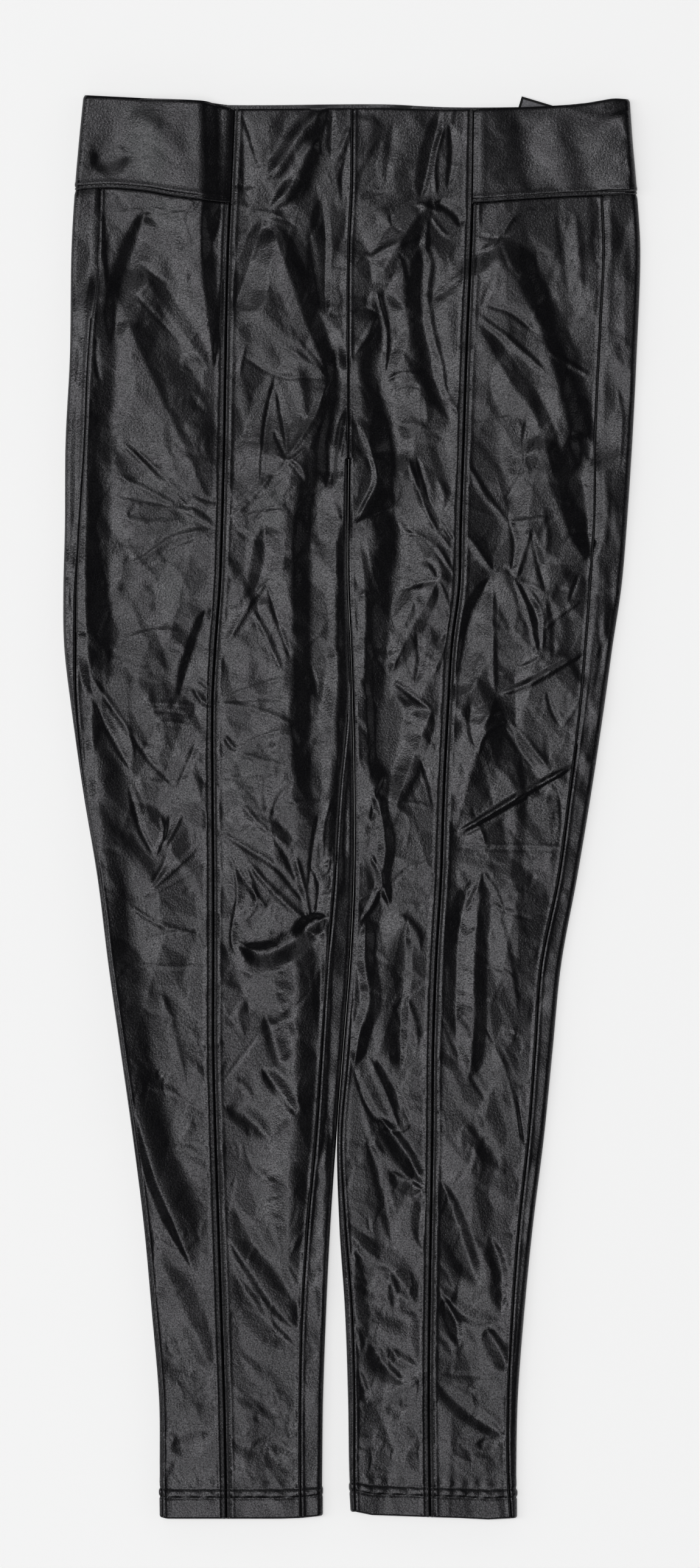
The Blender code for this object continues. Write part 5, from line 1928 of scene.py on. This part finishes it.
@dataclass(frozen=True)
class LabelCloth:
    """Woven tape: a greyish face inside a black border."""

    name: str = "label_cloth"
    face: tuple[float, float, float, float] = (0.05, 0.05, 0.055, 1.0)
    thread: tuple[float, float, float, float] = (0.42, 0.42, 0.45, 1.0)
    border: tuple[float, float, float, float] = (0.006, 0.006, 0.006, 1.0)
    roughness: float = 0.75
    weave: float = 900.0

    def build(self) -> bpy.types.Material:
        """Builds the node material.

        Returns:
            The material.
        """
        material, shader = new_material(self.name)
        tree = material.node_tree
        place = new_node(tree, "ShaderNodeTexCoord")
        weave = new_node(tree, "ShaderNodeTexNoise", {"Scale": self.weave})
        threads = new_node(tree, "ShaderNodeMix", {"A": self.face, "B": self.thread}, data_type="RGBA")
        marked = new_node(tree, "ShaderNodeAttribute", attribute_name="border")
        mixed = new_node(tree, "ShaderNodeMix", {"B": self.border}, data_type="RGBA")
        join(tree, (place, "Object", weave, "Vector"), (weave, "Fac", threads, "Factor"),
             (threads, "Result", mixed, "A"), (marked, "Fac", mixed, "Factor"),
             (mixed, "Result", shader, "Base Color"))
        shader.inputs["Roughness"].default_value = self.roughness
        return material


@dataclass(frozen=True)
class Plain:
    """A finish of one colour."""

    name: str
    colour: tuple[float, float, float, float]
    roughness: float
    glow: float = 0.0

    def build(self) -> bpy.types.Material:
        """Builds the material.

        Returns:
            The material.
        """
        material, shader = new_material(self.name)
        shader.inputs["Base Color"].default_value = self.colour
        shader.inputs["Roughness"].default_value = self.roughness
        shader.inputs["Emission Color"].default_value = self.colour
        shader.inputs["Emission Strength"].default_value = self.glow
        return material


# ---------------------------------------------------------------- studio
MIDDLE = (0.0, 0.0, 0.0)


@dataclass(frozen=True)
class Softbox:
    """A large soft lamp, aimed straight down unless it is told where."""

    name: str
    place: tuple[float, float, float]
    size: tuple[float, float]
    radiance: float
    aim: tuple[float, float, float] | None = None

    def build(self) -> None:
        """Makes the lamp, its strength set from how bright its face is."""
        data = bpy.data.lights.new(self.name, "AREA")
        data.shape = "RECTANGLE"
        data.size, data.size_y = self.size
        data.energy = self.radiance * np.pi * self.size[0] * self.size[1]
        lamp = new_object(self.name, data)
        lamp.location = self.place
        away = Vector(self.aim or (*self.place[:2], 0.0)) - Vector(self.place)
        lamp.rotation_euler = away.to_track_quat("-Z", "Y").to_euler()
        lamp.visible_camera = False


@dataclass
class Studio:
    """The pale floor, the lamps and the camera straight above."""

    frame_height: float = 1.0819
    centre: tuple[float, float] = (-0.00126, 0.0161)
    lens: float = 200.0
    sensor: float = 36.0
    floor_size: float = 6.0
    floor_down: float = -0.0004
    zenith_glow: float = 0.03
    horizon_glow: float = 0.7
    horizon_band: tuple[float, float] = (0.15, 0.50)
    lamps: tuple[Softbox, ...] = (
        Softbox("far_right", (1.75, 3.0, 9.0), (1.1, 11.0), 0.12),
        Softbox("above_right", (0.75, 3.0, 9.0), (0.90, 11.0), 0.14),
        Softbox("above", (-0.07, 3.0, 9.0), (0.74, 11.0), 0.18),
        Softbox("above_left", (-0.83, 3.0, 9.0), (0.75, 11.0), 0.25),
        Softbox("far_left", (-2.5, 3.0, 9.0), (2.6, 11.0), 0.6),
        Softbox("key_left", (-5.2, 0.4, 8.0), (1.6, 9.0), 3.5, MIDDLE),
        Softbox("low_left", (-8.0, 0.0, 3.0), (3.0, 9.0), 0.5, MIDDLE),
        Softbox("head_left", (-0.55, 2.2, 8.9), (0.9, 3.0), 0.7),
        Softbox("head_far_left", (-1.3, 1.35, 8.85), (1.3, 1.3), 2.8),
        Softbox("foot_left", (-0.875, -3.0, 8.9), (1.65, 5.2), 2.4),
        Softbox("foot_middle", (0.18, -3.0, 8.9), (0.46, 5.2), 1.5),
        Softbox("foot_right", (0.86, -3.0, 8.9), (0.90, 5.2), 0.85),
        Softbox("fill_right", (8.0, 0.7, 5.2), (2.8, 7.0), 0.4, MIDDLE),
    )

    def build(self, floor_material: bpy.types.Material) -> None:
        """Makes the floor, the lamps, the surroundings and the camera.

        Args:
            floor_material: the finish of the floor.
        """
        for lamp in self.lamps:
            lamp.build()
        half = self.floor_size / 2
        mesh = bpy.data.meshes.new("floor")
        corners = [(-half, -half), (half, -half), (half, half), (-half, half)]
        mesh.from_pydata([(x, y, self.floor_down) for x, y in corners], [], [(0, 1, 2, 3)])
        mesh.materials.append(floor_material)
        floor = new_object("floor", mesh)
        self.surround()
        scene = bpy.context.scene
        scene.view_settings.view_transform = "Standard"
        data = bpy.data.cameras.new("camera")
        data.lens = self.lens
        data.sensor_width = self.sensor
        data.clip_end = 20.0
        camera = new_object("camera", data)
        distance = self.lens / self.sensor * self.frame_height
        camera.location = (*self.centre, distance)
        scene.camera = camera

    def surround(self) -> None:
        """Makes the surroundings: pale walls round the floor, and a dim ceiling."""
        world = bpy.data.worlds.new("studio")
        world.use_nodes = True
        tree = world.node_tree
        around = tree.nodes["Background"]
        around.inputs["Color"].default_value = (1.0, 1.0, 1.0, 1.0)
        direction = new_node(tree, "ShaderNodeTexCoord")
        parts = new_node(tree, "ShaderNodeSeparateXYZ")
        low, high = self.horizon_band
        fade = new_node(tree, "ShaderNodeMapRange", interpolation_type="SMOOTHSTEP", values={
            "From Min": low, "From Max": high, "To Min": self.horizon_glow, "To Max": self.zenith_glow})
        join(tree, (direction, "Generated", parts, "Vector"), (parts, "Z", fade, "Value"),
             (fade, "Result", around, "Strength"))
        bpy.context.scene.world = world


@dataclass
class Leggings:
    """The whole garment."""

    pattern: Pattern = field(default_factory=Pattern)

    def build(self) -> None:
        """Builds every piece in order."""
        drape = Drape(self.pattern)
        relief = SeamRelief(self.pattern)
        leather = FauxLeather().build()
        thread = Plain("thread", (0.006, 0.006, 0.0065, 1.0), 0.55).build()
        shared = {"pattern": self.pattern, "drape": drape, "relief": relief, "material": leather}
        for leg in Leg:
            BackPanel(leg=leg, **shared).build()
            FrontPanel(leg=leg, inner_side=True, **shared).build()
            FrontPanel(leg=leg, inner_side=False, **shared).build()
            Waistband(leg=leg, **shared).build()
        Label(LabelCloth().build()).build()
        self.sew(drape, relief, thread)

    def sew(self, drape: Drape, relief: SeamRelief, thread: bpy.types.Material) -> None:
        """Adds the topstitching.

        Args:
            drape: the cloth's heights.
            relief: the seams.
            thread: the finish of the thread.
        """
        plan = StitchPlan(self.pattern, drape, relief)
        stitching = Stitching(thread)
        tree = stitching.tree()
        for leg in Leg:
            seams = [plan.along_seam(leg, offset) for offset in (-relief.stitch_place, relief.stitch_place)]
            stitching.build("stitches_princess_" + leg.word, seams, "front_inner_" + leg.word, tree)
            band = [plan.above_band_seam(leg, Waistband.stitch_up)]
            stitching.build("stitches_waistband_" + leg.word, band, "waistband_" + leg.word, tree)
            hem = [line for up in HEM_ROWS for line in plan.round_hem(leg, up)]
            stitching.build("stitches_hem_" + leg.word, hem, "back_" + leg.word, tree)


def main() -> None:
    """Builds the garment and the studio round it."""
    logging.basicConfig(level=logging.INFO, format="%(message)s")
    Leggings().build()
    floor = Plain("floor", (0.90, 0.90, 0.90, 1.0), 0.9, 0.56).build()
    Studio().build(floor)


if __name__ == "__main__":
    main()
